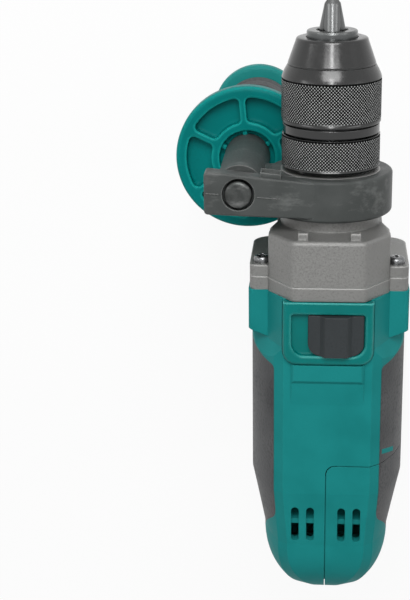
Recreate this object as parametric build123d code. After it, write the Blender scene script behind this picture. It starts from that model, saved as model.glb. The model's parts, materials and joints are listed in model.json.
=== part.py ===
from build123d import *
from math import atan, cos, pi, radians, sin, sqrt, tan
import os

# Percussion drill with a clamped side handle, in millimetres.
# The origin is the middle of the grip's flat base. +Y points along the spindle to the chuck,
# +X to the right of someone holding the drill, +Z up. Names with _UP or _DOWN count from the spindle axis.

# Stance and lengths along the spindle axis
AXIS_HEIGHT = 168.0
TAIL_OVERHANG = 35.0
HOUSING_LENGTH = 149.0
COVER_PLATE_LENGTH = 6.0
GEAR_HOUSING_LENGTH = 20.0
NECK_LENGTH = 23.5
CHUCK_GAP = 1.0

# Moulded body
BODY_HALF_WIDTH = 34.0
BODY_TOP_UP = 34.0
BODY_BOTTOM_DOWN = 34.0
TOP_FLAT_HALF = 19.0
BEVEL_WIDTH = 4.2
BEVEL_DROP = 3.6
TAPER_LENGTH = 26.0
TAIL_STRAIGHT = 3.0
TAIL_DEPTH = 30.0
TAIL_HALF_WIDTH = 28.0
TAIL_TOP_UP = 32.0
TAIL_FLAT_HALF = 17.0
TAIL_CROWN_DROP = 4.0
WALL = 2.4
PAD_THICKNESS = 2.2
SEAM_LENGTH = 72.4
SEAM_CORNER = 4.0
SEAM_GAP = 0.35
SEAM_TONGUE = 2.0
SEAM_TONGUE_DOWN = 8.0
FACET_INNER = 19.6
FACET_INNER_UP = 33.0
FACET_OUTER = 26.3
FACET_LENGTH = 32.0
FACET_RAMP = 10.0
FACET_RISE = 4.6
CHIN_LENGTH = 18.0
RIB_WIDTH = 4.0
RIB_INSET = 2.0
BEARING_LIP = 1.0

# Proportions of the barrel's section, the same along the whole taper
SIDE_BOW = 0.075
HIP_WIDTH = 0.925
HIP_DROP = 0.38
BELLY_WIDTH = 0.72
BELLY_DROP = 0.70
DOME_ANGLES = (0, 22, 42, 58, 71, 82)

# Cheeks of the body and ears of the gear castings, which share their screws
CHEEK_HALF_WIDTH = 34.7
CHEEK_INNER = 22.0
CHEEK_TOP_UP = 19.5
CHEEK_BOTTOM_DOWN = 27.0
CHEEK_LENGTH = 18.0
CHEEK_SLANT = 22.0
CHEEK_ROUND = 2.0
EAR_LENGTH = 5.0
EAR_INSET = 0.5
EAR_ROUND = 3.0
EAR_LOW_ROUND = 10.0
EAR_SCREW_X = 28.9
EAR_SCREW_UP = 13.5
EAR_SCREW_RADIUS = 2.0
EAR_SCREW_LENGTH = 26.0
CHIN_SCREW_X = 13.5
CHIN_SCREW_DOWN = 31.8
CHIN_SCREW_REACH = 12.0
SCREW_HEAD_RADIUS = 3.7
SCREW_HEAD_HEIGHT = 2.9
SCREW_HEAD_ROUND = 1.6
SCREW_RECESS_REACH = 2.0
SCREW_RECESS_WIDTH = 1.1
SCREW_RECESS_DEPTH = 1.4

# Side pads and grip pads
SIDE_PAD_FRONT_GAP = 8.0
SIDE_PAD_DOWN = 16.0
SIDE_PAD_LEAN = 5.0
SIDE_PAD_LEAN_UP = 2.0
SIDE_PAD_REAR_GAP = 7.0
SIDE_PAD_REAR_LEAN = 19.5
SIDE_PAD_CORNERS = (2.0, 5.0, 2.0, 0.0, 8.0, 9.0, 9.0)
STRIPE_AHEAD = 2.0
STRIPE_WIDTH = 2.3
STRIPE_LEAN = 2.4
STRIPE_TOP_UP = 29.0
STRIPE_LOW_UP = 19.5
GRIP_PAD_LOW = 34.0
GRIP_PAD_HIGH = 112.0
GRIP_PAD_BEHIND = 4.0

# Pistol grip, from its flat base up into the barrel
BASE_HALF_LENGTH = 29.0
BASE_HALF_WIDTH = 23.5
BASE_HEIGHT = 12.0
BASE_FLOOR = 4.0
GRIP_HALF_LENGTH = 21.0
GRIP_HALF_WIDTH = 17.5
GRIP_TOP_HALF_LENGTH = 26.0
GRIP_TOP_HALF_WIDTH = 19.0
GRIP_RAKE = 7.5
GRIP_ROUND = 0.95
FLARE_HEIGHT = 26.4
PALM_LOW = 60.0
PALM_HIGH = 96.5

# Mode lever and its bezel on the top of the body
BEZEL_HALF_WIDTH = 19.3
BEZEL_LENGTH = 28.1
BEZEL_HEIGHT = 4.8
BEZEL_SINK = 2.4
BEZEL_CORNER = 6.0
BEZEL_EDGE = 1.4
WINDOW_HALF_WIDTH = 15.6
WINDOW_LENGTH = 18.5
WINDOW_BACK = 4.2
WINDOW_CORNER = 5.4
WINDOW_EDGE = 0.9
WINDOW_FRONT_CORNER = 1.0
BEZEL_FLOOR = 1.8
LEVER_WIDTH = 23.8
LEVER_TRAVEL = 7.0
LEVER_RIDGE_WIDTH = 10.8
LEVER_RIDGE_FROM_LEFT = 6.5
LEVER_HEIGHT = 2.2
LEVER_RIDGE_HEIGHT = 5.6
LEVER_RIDGE_DRAFT = 0.8
LEVER_RIDGE_ROUND = 1.2
LEVER_FOOT_SPREAD = 1.4
LEVER_FOOT_HEIGHT = 0.9
LEVER_FOOT_ROUND = 1.0
LEVER_EDGE = 0.6
LEVER_STEM_WIDTH = 6.0
LEVER_STEM_LENGTH = 5.0
PAD_STEP_LENGTH = 19.0
PAD_STEP_HALF_WIDTH = 15.6
PAD_STEP_HEIGHT = 1.8
PAD_STEP_RAMP = 11.5
PAD_STEP_DROP = 1.4
PAD_STEP_FOOT = 0.7
PAD_STEP_EDGE = 1.1

# Air slots
SLOT_INNER = 6.9
SLOT_PITCH = 6.7
SLOT_WIDTH = 3.4
SLOT_FRONT = 17.0
SLOT_LENGTH = 17.0
SLOT_RIB = 2.2
SLOT_RIB_BACK = 6.8
SLOT_RIB_SINK = 1.4

# Gear castings
CASE_TOP_UP = 35.5
CASE_TOP_HALF = 15.5
CASE_SIDE_HALF = 26.0
CASE_SIDE_UP = 21.0
CASE_WAIST_UP = 12.0
CASE_LOW_HALF = 23.0
CASE_LOW_DOWN = 20.0
CASE_BOTTOM_DOWN = 38.0
CASE_BOTTOM_HALF = 17.0
CASE_CORNERS = (3.0, 3.0, 5.0, 8.0, 6.0, 4.0)
CASE_ROUND = 1.6
NECK_RADIUS = 21.5
LUG_ANGLES = (-19.5, 19.5)
LUG_UP = 33.0
LUG_WIDTH = 4.2
LUG_HEIGHT = 3.4
LUG_LENGTH = 3.0

# Gear train
GEAR_MODULE = 1.0
PRESSURE_ANGLE = 25.0
TOOTH_ADDENDUM = 0.7
TOOTH_DEDENDUM = 0.95
BACKLASH = 0.14
MOTOR_PINION_TEETH = 8
LAY_GEAR_TEETH = 28
LAY_PINION_TEETH = 10
SPINDLE_GEAR_TEETH = 26
LAY_GEAR_WIDTH = 5.6
SPINDLE_GEAR_WIDTH = 6.0
GEAR_GAP = 0.6
SHAFT_HOLE_GAP = 2.0
LAY_SHAFT_RADIUS = 2.5
LAY_BUSH_RADIUS = 4.0
LAY_BUSH_LENGTH = 4.5

# Spindle, its bearings and the percussion ratchets
SPINDLE_RADIUS = 7.5
SPINDLE_GEAR_SEAT = 6.0
SPINDLE_NOSE_RADIUS = 6.3
SPINDLE_NOSE_LENGTH = 17.0
SPINDLE_SHOULDER_RADIUS = 9.5
FRONT_BEARING_RADIUS = 16.0
FRONT_BEARING_WIDTH = 9.0
FRONT_BEARING_INSET = 2.5
REAR_BEARING_RADIUS = 14.0
REAR_BEARING_WIDTH = 7.0
RATCHET_RADIUS = 12.0
RATCHET_THICKNESS = 3.2
RATCHET_TEETH = 12
RATCHET_TOOTH_DEPTH = 0.9
RATCHET_TOOTH_WIDTH = 2.2
RATCHET_GAP = 1.0

# Motor
MOTOR_SHAFT_RADIUS = 4.0
MOTOR_TAIL_RADIUS = 3.5
MOTOR_BEARING_RADIUS = 11.0
MOTOR_BEARING_WIDTH = 7.0
MOTOR_REAR_BEARING_RADIUS = 9.5
MOTOR_REAR_BEARING_WIDTH = 6.0
BEARING_BOSS_WALL = 2.6
BEARING_SHIELD = 0.4
BEARING_SHIELD_DEPTH = 0.5
FAN_RADIUS = 25.5
FAN_WIDTH = 6.5
FAN_BLADES = 12
FAN_BLADE_WIDTH = 1.4
FAN_DISC = 1.6
FAN_HUB = 8.0
CORE_RADIUS = 16.0
CORE_LENGTH = 42.0
CORE_SLOTS = 12
CORE_SLOT_WIDTH = 1.6
CORE_SLOT_DEPTH = 4.5
AIR_GAP = 0.8
FIELD_RADIUS = 27.0
WINDING_LENGTH = 5.6
WINDING_RADIUS = 14.0
WINDING_ROUND = 3.3
COIL_INNER = 17.5
COIL_OUTER = 25.0
COIL_ROUND = 2.4
COMMUTATOR_RADIUS = 11.0
COMMUTATOR_LENGTH = 13.0
MOTOR_TAIL_LENGTH = 28.9
COMMUTATOR_BARS = 24
COMMUTATOR_COLLAR = 2.0
BAR_GAP = 0.5
BAR_GAP_DEPTH = 0.8
BRUSH_WIDTH = 7.0
BRUSH_HEIGHT = 7.0
BRUSH_LENGTH = 12.0
BRUSH_HOLDER_WALL = 1.6
BRUSH_HOLDER_GAP = 1.5

# Chuck, from its rear face to the jaw tips
REAR_SLEEVE_LENGTH = 15.0
BAND_LENGTH = 3.7
SLEEVE_GROOVE = 0.6
FRONT_SLEEVE_LENGTH = 35.7
NOSE_LENGTH = 21.0
SLEEVE_RADIUS = 21.3
REAR_SLEEVE_RADIUS = 21.1
BAND_RADIUS = 20.8
SLEEVE_WALL = 2.8
SLEEVE_EDGE = 0.8
RING_EDGE = 0.4
REAR_SLEEVE_EDGE = 1.2
NOSE_RADIUS = 14.4
NOSE_BULGE = 2.0
NOSE_SHOULDER = 7.0
NOSE_GROOVE = 11.0
NOSE_GROOVE_WIDTH = 0.8
NOSE_GROOVE_DEPTH = 0.5
LIP_RADIUS = 10.8
LIP_REACH = 3.0
LIP_ROUND = 0.8
BIT_BORE = 6.9
JAW_REACH = 12.5
JAW_LENGTH = 38.0
JAW_RADIUS = 3.5
JAW_TILT = 13.0
JAW_TIP_RADIUS = 3.05
JAW_BLUNT_RADIUS = 2.3
JAW_NOSE_SLOPE = 1.36
JAW_COUNT = 3
JAW_SPLIT = 0.12
GRIP_SMALLEST = 0.75
GRIP_LARGEST = 6.5
NUT_BACK = 11.5
NUT_LENGTH = 7.4
NUT_BORE = 12.7
CHUCK_SCREW_RADIUS = 2.5
CHUCK_SCREW_HEAD = 5.0
CHUCK_SCREW_HEAD_HEIGHT = 4.0
CHUCK_SCREW_SLOT = 1.2
CHUCK_SCREW_SLOT_DEPTH = 1.4
CHUCK_SCREW_LENGTH = 23.0
CHUCK_WEB = 8.0

# Side handle
CLAMP_WIDTH = 18.0
CLAMP_WALL = 5.2
CLAMP_EDGE = 1.4
HANDLE_X = -38.5
HANDLE_ADVANCE = 3.2
ARM_ADVANCE = 3.7
ARM_TOP_UP = 26.0
ARM_THICKNESS = 8.0
ARM_HALF_WIDTH = 9.3
ARM_BEYOND = 14.5
ARM_ROUND = 1.6
ARM_EDGE = 0.8
CLAMP_SLOT = 2.0
BOSS_RADIUS = 10.5
WEB_TOP_UP = 5.0
WEB_BOTTOM_DOWN = 16.0
WEB_INSET = 2.0
BOLT_RADIUS = 4.0
BOLT_HEAD_RADIUS = 6.0
BOLT_HEAD_SINK = 3.5
BOLT_HEAD_CROWN = 1.0
BOLT_HEAD_GAP = 0.9
BOLT_HEAD_ROUND = 1.6
BOLT_POINT = 0.8
BOLT_REACH = 45.0
BOLT_END_ROOM = 2.0
CLAMP_NUT_RADIUS = 6.5
CLAMP_NUT_LENGTH = 20.0
CLAMP_NUT_DEPTH = 18.0
FLANGE_DOWN = 43.0
FLANGE_RADIUS = 33.2
FLANGE_HEIGHT = 9.0
FLANGE_HOLE = 13.0
FLANGE_FLOOR = 4.0
FLANGE_LOW_ROUND = 3.0
FLANGE_TOP_ROUND = 1.6
FLANGE_TURN = 95.0
POCKET_COUNT = 6
POCKET_INNER = 16.6
POCKET_OUTER = 28.3
POCKET_DEPTH = 5.0
POCKET_ROUND = 2.4
SPOKE_WIDTH = 2.8
TAB_WIDTH = 2.0
TAB_ROOT = 0.5
TAB_DROP = 1.0
HANDLE_SPAN = 103.0
END_FLANGE_RADIUS = 24.0
END_FLANGE_HEIGHT = 8.0
END_FLANGE_ROUND = 2.0
END_CAP_RADIUS = 20.0
END_CAP_ROUND = 1.5
CORE_TUBE_RADIUS = 9.5
GRIP_WAIST = 14.5
GRIP_MIDDLE = 16.6
GRIP_BULGE = 19.3
GRIP_BULGE_UP = 9.0
GRIP_FOOT = 17.3
GRIP_FOOT_BOW = 0.5

# Switch, trigger and the other controls
TRIGGER_LOW = 93.0
TRIGGER_HIGH = 121.0
TRIGGER_HALF_WIDTH = 7.4
TRIGGER_EDGE = 2.4
TRIGGER_REAR = 26.0
TRIGGER_TOP_FRONT = 50.5
TRIGGER_MIDDLE_FRONT = 45.0
TRIGGER_LOW_FRONT = 46.5
TRIGGER_TRAVEL = 7.0
TRIGGER_STEM_RADIUS = 3.0
TRIGGER_STEM_LENGTH = 8.6
SWITCH_HALF_WIDTH = 7.5
SWITCH_LENGTH = 16.2
SWITCH_LOW = 84.0
REVERSE_THICKNESS = 4.4
REVERSE_HALF_WIDTH = 3.0
REVERSE_PIVOT = 27.5
REVERSE_REACH = 24.0
REVERSE_HUB = 5.0
REVERSE_PIN = 2.0
REVERSE_SWING = 10.0
REVERSE_TIP_ROUND = 1.6
SWITCH_BRACKET = 2.2
LOCK_Y = 16.5
LOCK_HEIGHT = 104.0
LOCK_RADIUS = 4.5
LOCK_FLANGE = 5.3
LOCK_FLANGE_THICKNESS = 0.8
LOCK_PRESSED_PROUD = 0.4
LOCK_EDGE = 1.0
LOCK_TRAVEL = 2.6

# Screws that hold the handle cover, entered from the right
POST_RADIUS = 4.2
COVER_SCREW_RADIUS = 1.7
COVER_SCREW_HEAD = 3.4
COVER_SCREW_HEAD_HEIGHT = 2.4
COVER_SCREW_SINK = 3.4
COVER_SCREW_REACH = 8.0
TAIL_POST = (-21.0, 160.0)
UPPER_POST = (-2.2, 117.0)
BASE_POST_Y = 17.5
BASE_POST_HEIGHT = 22.0

# Cord gland in the base
GLAND_BORE = 4.0
GLAND_RADIUS = 6.8
GLAND_COLLAR = 8.8
GLAND_COLLAR_HEIGHT = 2.5
GLAND_LENGTH = 20.0
GLAND_SINK = 0.4

# Clearances
RUNNING_FIT = 0.05
SEAT_FIT = 0.04
SLIDE_GAP = 0.35
HOLE_GAP = 0.3

# How far a cutting shape runs past the surface that it cuts
PAST = 1.0

# Stations that follow from the lengths
TAIL_Y = -TAIL_OVERHANG
JOINT_Y = TAIL_Y + HOUSING_LENGTH
CASE_Y = JOINT_Y + COVER_PLATE_LENGTH
FACE_Y = CASE_Y + GEAR_HOUSING_LENGTH
NECK_Y = FACE_Y + NECK_LENGTH
CHUCK_Y = NECK_Y + CHUCK_GAP
BAND_Y = CHUCK_Y + REAR_SLEEVE_LENGTH + SLEEVE_GROOVE
SLEEVE_Y = BAND_Y + BAND_LENGTH + SLEEVE_GROOVE
NOSE_Y = SLEEVE_Y + FRONT_SLEEVE_LENGTH
LIP_Y = NOSE_Y + LIP_REACH
TIP_Y = LIP_Y + JAW_REACH
SEAM_Y = TAIL_Y + SEAM_LENGTH
DOME_Y = TAIL_Y + TAIL_DEPTH
TAIL_FRONT_Y = DOME_Y + TAIL_STRAIGHT
TAPER_Y = TAIL_FRONT_Y + TAPER_LENGTH
CHEEK_Y = JOINT_Y - CHEEK_LENGTH
BEZEL_Y = JOINT_Y - SLIDE_GAP - BEZEL_LENGTH
CLAMP_Y = NECK_Y - CLAMP_WIDTH
HANDLE_Y = NECK_Y - CLAMP_WIDTH / 2 + HANDLE_ADVANCE
SKIN = PAD_THICKNESS + WALL

# Gear stations
LAY_DROP = GEAR_MODULE * (MOTOR_PINION_TEETH + LAY_GEAR_TEETH) / 2
LAY_GEAR_Y = CASE_Y + GEAR_GAP
SPINDLE_GEAR_Y = LAY_GEAR_Y + LAY_GEAR_WIDTH + 2 * GEAR_GAP
FRONT_WALL_Y = SPINDLE_GEAR_Y + SPINDLE_GEAR_WIDTH + GEAR_GAP
RATCHET_Y = SPINDLE_GEAR_Y + SPINDLE_GEAR_WIDTH
FIXED_RATCHET_Y = RATCHET_Y + RATCHET_THICKNESS + RATCHET_GAP
REAR_BEARING_Y = FIXED_RATCHET_Y + RATCHET_THICKNESS
FRONT_BEARING_Y = NECK_Y - FRONT_BEARING_INSET - FRONT_BEARING_WIDTH

# Motor stations, counted back from the cover plate
MOTOR_BEARING_Y = JOINT_Y - MOTOR_BEARING_WIDTH + COVER_PLATE_LENGTH / 2
BOSS_Y = MOTOR_BEARING_Y - GEAR_GAP
FAN_Y = BOSS_Y - GEAR_GAP - FAN_WIDTH
FIELD_FRONT_Y = FAN_Y - GEAR_GAP - WINDING_LENGTH
FIELD_Y = FIELD_FRONT_Y - CORE_LENGTH
COMMUTATOR_Y = FIELD_Y - WINDING_LENGTH - GEAR_GAP - COMMUTATOR_LENGTH
MOTOR_REAR_Y = COMMUTATOR_Y - MOTOR_TAIL_LENGTH
BRUSH_Y = COMMUTATOR_Y + COMMUTATOR_LENGTH / 2

# Side handle heights, from the floor
ARM_TOP = AXIS_HEIGHT + ARM_TOP_UP
ARM_LOW = ARM_TOP - ARM_THICKNESS
FLANGE_TOP = AXIS_HEIGHT - FLANGE_DOWN
FLANGE_LOW = FLANGE_TOP - FLANGE_HEIGHT
END_FLANGE_TOP = FLANGE_LOW - HANDLE_SPAN
END_FLANGE_LOW = END_FLANGE_TOP - END_FLANGE_HEIGHT
BOSS_LOW = FLANGE_LOW + FLANGE_FLOOR + HOLE_GAP


def outline(points, radii=0.0):
    """Closed face through a few points, with one corner radius or one for each point."""
    return make_face(FilletPolyline(*points, radius=radii, close=True).edges())


def across(y, x=0.0, up=0.0):
    """Plane across the spindle axis at a station: local x is right and local y is up."""
    return Plane(origin=(x, y, AXIS_HEIGHT + up), x_dir=(1, 0, 0), z_dir=(0, -1, 0))


def prism_y(sketch, rear, front, x=0.0, up=0.0):
    """Sketch across the spindle axis, carried from one station to another."""
    return extrude(across(rear, x, up) * sketch, amount=front - rear, dir=(0, 1, 0))


def prism_x(sketch, left, right):
    """Side sketch in (station, height above the floor), carried from left to right."""
    side = Plane(origin=(left, 0, 0), x_dir=(0, 1, 0), z_dir=(1, 0, 0))
    return extrude(side * sketch, amount=right - left)


def prism_z(sketch, low, high, x=0.0, y=0.0):
    """Plan sketch carried from one height above the floor to another."""
    return extrude(Pos(x, y, low) * sketch, amount=high - low)


def rod_y(radius, rear, front, x=0.0, up=0.0):
    """Round bar along the spindle's direction."""
    return prism_y(Circle(radius), rear, front, x, up)


def rod_x(radius, left, right, y, height):
    """Round bar across the drill."""
    return prism_x(Pos(y, height) * Circle(radius), left, right)


def rod_z(radius, low, high, x, y):
    """Upright round bar."""
    return prism_z(Circle(radius), low, high, x, y)


def ring_y(outer, inner, rear, front, x=0.0, up=0.0):
    """Plain ring along the spindle's direction."""
    return prism_y(Circle(outer) - Circle(inner), rear, front, x, up)


def turned_y(face, up=0.0):
    """Solid of revolution about a line along Y, from a face in (radius, station)."""
    axis = Axis((0, 0, AXIS_HEIGHT + up), (0, 1, 0))
    return revolve(Pos(0, 0, AXIS_HEIGHT + up) * face, axis=axis)


def turned_z(face, x, y):
    """Solid of revolution about an upright line, from a face in (radius, height)."""
    upright = Plane(origin=(x, y, 0), x_dir=(1, 0, 0), z_dir=(0, -1, 0))
    return revolve(upright * face, axis=Axis((x, y, 0), (0, 0, 1)))


def block(x_range, y_range, z_range):
    """Box between two corners."""
    size = [high - low for low, high in (x_range, y_range, z_range)]
    middle = [(high + low) / 2 for low, high in (x_range, y_range, z_range)]
    return Pos(*middle) * Box(*size)


def barrel_section(half_width, top, bottom, flat, bevel, drop):
    """Barrel outline across the axis: flat top, bevels, bowed sides and a round belly."""
    shoulder = (flat + bevel, top - drop)
    waist = (half_width, 0.0)
    belly = (half_width * BELLY_WIDTH, -bottom * BELLY_DROP)
    keel = (0.0, -bottom)
    bow = ((shoulder[0] + waist[0]) / 2 + half_width * SIDE_BOW, (shoulder[1] + waist[1]) / 2)
    hip = (half_width * HIP_WIDTH, -bottom * HIP_DROP)

    def other(point):
        return (-point[0], point[1])

    return make_face([
        Line((-flat, top), (flat, top)),
        Line((flat, top), shoulder),
        ThreePointArc(shoulder, bow, waist),
        ThreePointArc(waist, hip, belly),
        ThreePointArc(belly, keel, other(belly)),
        ThreePointArc(other(belly), other(hip), other(waist)),
        ThreePointArc(other(waist), other(bow), other(shoulder)),
        Line(other(shoulder), (-flat, top)),
    ])


def main_section(inset):
    """Barrel outline ahead of the taper, drawn in by a wall thickness."""
    return barrel_section(
        BODY_HALF_WIDTH - inset, BODY_TOP_UP - inset, BODY_BOTTOM_DOWN - inset,
        TOP_FLAT_HALF - inset / 2, BEVEL_WIDTH, BEVEL_DROP,
    )


def tail_section(inset, share=1.0):
    """Tail outline, drawn in by a wall thickness and shrunk and rounded towards the end of the dome."""
    shoulder = (TAIL_FLAT_HALF + BEVEL_WIDTH - inset / 2) * share
    flat = (TAIL_FLAT_HALF - inset / 2) * share ** 2
    return barrel_section(
        (TAIL_HALF_WIDTH - inset) * share, (TAIL_TOP_UP - inset) * share, (BODY_BOTTOM_DOWN - inset) * share,
        flat, shoulder - flat, (BEVEL_DROP + (1 - share) * TAIL_CROWN_DROP) * share,
    )


def barrel(inset=0.0, front=JOINT_Y):
    """Barrel from its open front to the domed tail, drawn in by a wall thickness."""
    straight = prism_y(main_section(inset), TAPER_Y, front)
    taper = loft([
        across(TAPER_Y) * main_section(inset),
        across(TAIL_FRONT_Y) * tail_section(inset),
    ], ruled=True)
    sections = [across(TAIL_FRONT_Y) * tail_section(inset)]
    for angle in DOME_ANGLES:
        station = DOME_Y - (TAIL_DEPTH - inset) * sin(radians(angle))
        sections.append(across(station) * tail_section(inset, cos(radians(angle))))
    body = straight + taper + loft(sections)
    for side in (-1, 1):
        body -= shoulder_facet(inset, front, side)
    return body


def shoulder_facet(inset, front, side):
    """Wedge that planes a front shoulder of the barrel to the slope of the gear castings."""
    run = FACET_OUTER - FACET_INNER
    fall = FACET_INNER_UP - CHEEK_TOP_UP
    slope = sqrt(run ** 2 + fall ** 2)
    across_x, across_z = fall / slope, run / slope
    depth = FACET_INNER * across_x + FACET_INNER_UP * across_z - inset
    rear = JOINT_Y - FACET_LENGTH
    end = front + PAST
    far = 2 * BODY_HALF_WIDTH
    wedge = outline([
        (rear, depth + FACET_RISE), (rear + FACET_RAMP, depth), (end, depth), (end, far), (rear, far),
    ])
    plane = Plane(origin=(0, 0, AXIS_HEIGHT), x_dir=(0, 1, 0), z_dir=(across_z, 0, -across_x))
    solid = extrude(plane * wedge, amount=far, both=True)
    return solid if side > 0 else mirror(solid, Plane.YZ)


def chin():
    """Lower lip of the body's front, which backs the gear castings and takes their lower screws."""
    side, low = CASE_LOW_HALF, AXIS_HEIGHT - CASE_BOTTOM_DOWN
    rear, lift = JOINT_Y - CHIN_LENGTH, CASE_BOTTOM_DOWN - BODY_BOTTOM_DOWN
    corner = CASE_CORNERS[-1]
    face = outline([
        (side, -CASE_LOW_DOWN), (CASE_BOTTOM_HALF, -CASE_BOTTOM_DOWN),
        (-CASE_BOTTOM_HALF, -CASE_BOTTOM_DOWN), (-side, -CASE_LOW_DOWN),
    ], [0, corner, corner, 0])
    profile = outline([
        (rear - PAST, AXIS_HEIGHT), (rear, low + lift), (rear + lift, low), (JOINT_Y, low), (JOINT_Y, AXIS_HEIGHT),
    ])
    return prism_y(face, rear, JOINT_Y) & prism_x(profile, -side, side)


def grip_section(half_length, half_width):
    """Grip outline in plan."""
    return RectangleRounded(2 * half_width, 2 * half_length, half_width * GRIP_ROUND)


def grip(inset=0.0, floor=0.0):
    """Pistol grip from its base into the barrel, drawn in by a wall thickness."""
    top = AXIS_HEIGHT - BODY_BOTTOM_DOWN / 2
    neck = AXIS_HEIGHT - BODY_BOTTOM_DOWN
    flare_length = (BASE_HALF_LENGTH + GRIP_HALF_LENGTH) / 2
    flare_width = (BASE_HALF_WIDTH + GRIP_HALF_WIDTH) / 2
    stations = (
        (floor, BASE_HALF_LENGTH, BASE_HALF_WIDTH),
        (BASE_HEIGHT, BASE_HALF_LENGTH, BASE_HALF_WIDTH),
        (FLARE_HEIGHT, flare_length, flare_width),
        (PALM_LOW, GRIP_HALF_LENGTH, GRIP_HALF_WIDTH),
        (PALM_HIGH, GRIP_HALF_LENGTH, GRIP_HALF_WIDTH),
        (neck, GRIP_TOP_HALF_LENGTH, GRIP_TOP_HALF_WIDTH),
        (top, GRIP_TOP_HALF_LENGTH, GRIP_TOP_HALF_WIDTH),
    )
    sections = []
    for height, half_length, half_width in stations:
        lean = max(height - BASE_HEIGHT, 0.0) * tan(radians(GRIP_RAKE))
        sections.append(Pos(0, lean, height) * grip_section(half_length - inset, half_width - inset))
    return loft(sections)


def cover_region(clearance=0.0):
    """Right half of the tail and grip, grown past the seam by a clearance."""
    far = 2 * CHEEK_HALF_WIDTH
    front = SEAM_Y + clearance
    plan = outline(
        [(-clearance, TAIL_Y - far), (far, TAIL_Y - far), (far, front), (-clearance, front)],
        [0, 0, 0, SEAM_CORNER],
    )
    upper = prism_z(plan, 0, AXIS_HEIGHT + BODY_TOP_UP + far)
    belly = AXIS_HEIGHT - BODY_BOTTOM_DOWN - WALL + clearance
    lower = block((-clearance, far), (TAIL_Y - far, JOINT_Y - CHIN_LENGTH - PAST), (-PAST, belly))
    return upper + lower


def seam_tongue(clearance=0.0):
    """Tongue along the tail's seam: the inner half of the wall, carried past the seam under the cover."""
    reach = SEAM_TONGUE + clearance
    span = block((-PAST, reach), (2 * TAIL_Y, SEAM_Y - SEAM_CORNER - SEAM_TONGUE + clearance),
                 (AXIS_HEIGHT - SEAM_TONGUE_DOWN - clearance, 2 * AXIS_HEIGHT))
    return barrel(WALL + SEAM_GAP - clearance) & span


def side_pad_outline():
    """Side view of a rubber side pad: both ends lean inwards towards the top."""
    top = AXIS_HEIGHT + BODY_TOP_UP - BEVEL_DROP
    low = AXIS_HEIGHT - SIDE_PAD_DOWN
    front = CHEEK_Y - SIDE_PAD_FRONT_GAP
    rear = TAIL_FRONT_Y - SIDE_PAD_REAR_GAP
    end = rear + SIDE_PAD_REAR_LEAN
    fall = (BODY_TOP_UP - TAIL_TOP_UP) * (TAPER_Y - end) / TAPER_LENGTH
    return outline(
        [(front, low), (front, AXIS_HEIGHT + SIDE_PAD_LEAN_UP), (front - SIDE_PAD_LEAN, top),
         (TAPER_Y, top), (end, top - fall), (rear, AXIS_HEIGHT), (rear, low)],
        [*SIDE_PAD_CORNERS],
    )


def side_pads():
    """Left pad, right front pad and right rear pad, let into the barrel's skin."""
    layer = barrel() - barrel(PAD_THICKNESS, JOINT_Y + PAST)
    side = side_pad_outline()
    reach = BODY_HALF_WIDTH + PAST
    left = layer & prism_x(side, -reach, -TOP_FLAT_HALF)
    right = layer & prism_x(side, TOP_FLAT_HALF, reach)
    high = 2 * AXIS_HEIGHT
    stripe = SEAM_Y + STRIPE_AHEAD
    front = right - block((0, 2 * reach), (2 * TAIL_Y, SEAM_Y + SEAM_GAP), (0, high))
    stripe_low, stripe_top = AXIS_HEIGHT + STRIPE_LOW_UP, AXIS_HEIGHT + STRIPE_TOP_UP
    front -= prism_x(outline([
        (stripe, stripe_low), (stripe + STRIPE_WIDTH, stripe_low),
        (stripe + STRIPE_WIDTH + STRIPE_LEAN, stripe_top), (stripe + STRIPE_LEAN, stripe_top),
    ]), 0, 2 * reach)
    rear = right - block((0, 2 * reach), (SEAM_Y, 2 * JOINT_Y), (0, high))
    return left, front, rear


def grip_pads():
    """Rubber on the back of the grip, one piece for each half."""
    layer = grip() - grip(PAD_THICKNESS, -PAST)
    slope = tan(radians(GRIP_RAKE))
    far = 2 * BASE_HALF_LENGTH
    back = [
        (GRIP_PAD_LOW * slope - GRIP_PAD_BEHIND, GRIP_PAD_LOW),
        (GRIP_PAD_HIGH * slope - GRIP_PAD_BEHIND, GRIP_PAD_HIGH),
        (-far, GRIP_PAD_HIGH),
        (-far, GRIP_PAD_LOW),
    ]
    left = layer & prism_x(outline(back), -far, -SEAM_GAP)
    right = layer & prism_x(outline(back), 0, far)
    return left, right


def cheek(length, side):
    """Screw block on one side: its rear end slants inwards, its outer edges are rounded."""
    rear = JOINT_Y - length
    slant = (CHEEK_HALF_WIDTH - CHEEK_INNER) * tan(radians(CHEEK_SLANT))
    plan = outline([
        (CHEEK_INNER, JOINT_Y), (CHEEK_HALF_WIDTH, JOINT_Y),
        (CHEEK_HALF_WIDTH, rear), (CHEEK_INNER, rear - slant),
    ])
    solid = prism_z(plan, AXIS_HEIGHT - CHEEK_BOTTOM_DOWN, AXIS_HEIGHT + CHEEK_TOP_UP)
    outer = solid.edges().filter_by(Axis.Y).sort_by(Axis.X)[-2:]
    solid = fillet(outer, CHEEK_ROUND)
    return solid if side > 0 else mirror(solid, Plane.YZ)


def ear(rear, front, side):
    """Screw ear of a gear casting, in front of the cheek, rounded off at its lower corner."""
    half = CHEEK_HALF_WIDTH - EAR_INSET
    face = outline(
        [(0, -CHEEK_BOTTOM_DOWN), (half, -CHEEK_BOTTOM_DOWN), (half, CHEEK_TOP_UP), (0, CHEEK_TOP_UP)],
        [0, EAR_LOW_ROUND, EAR_ROUND, 0],
    )
    solid = prism_y(face, rear, front)
    return solid if side > 0 else mirror(solid, Plane.YZ)


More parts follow.
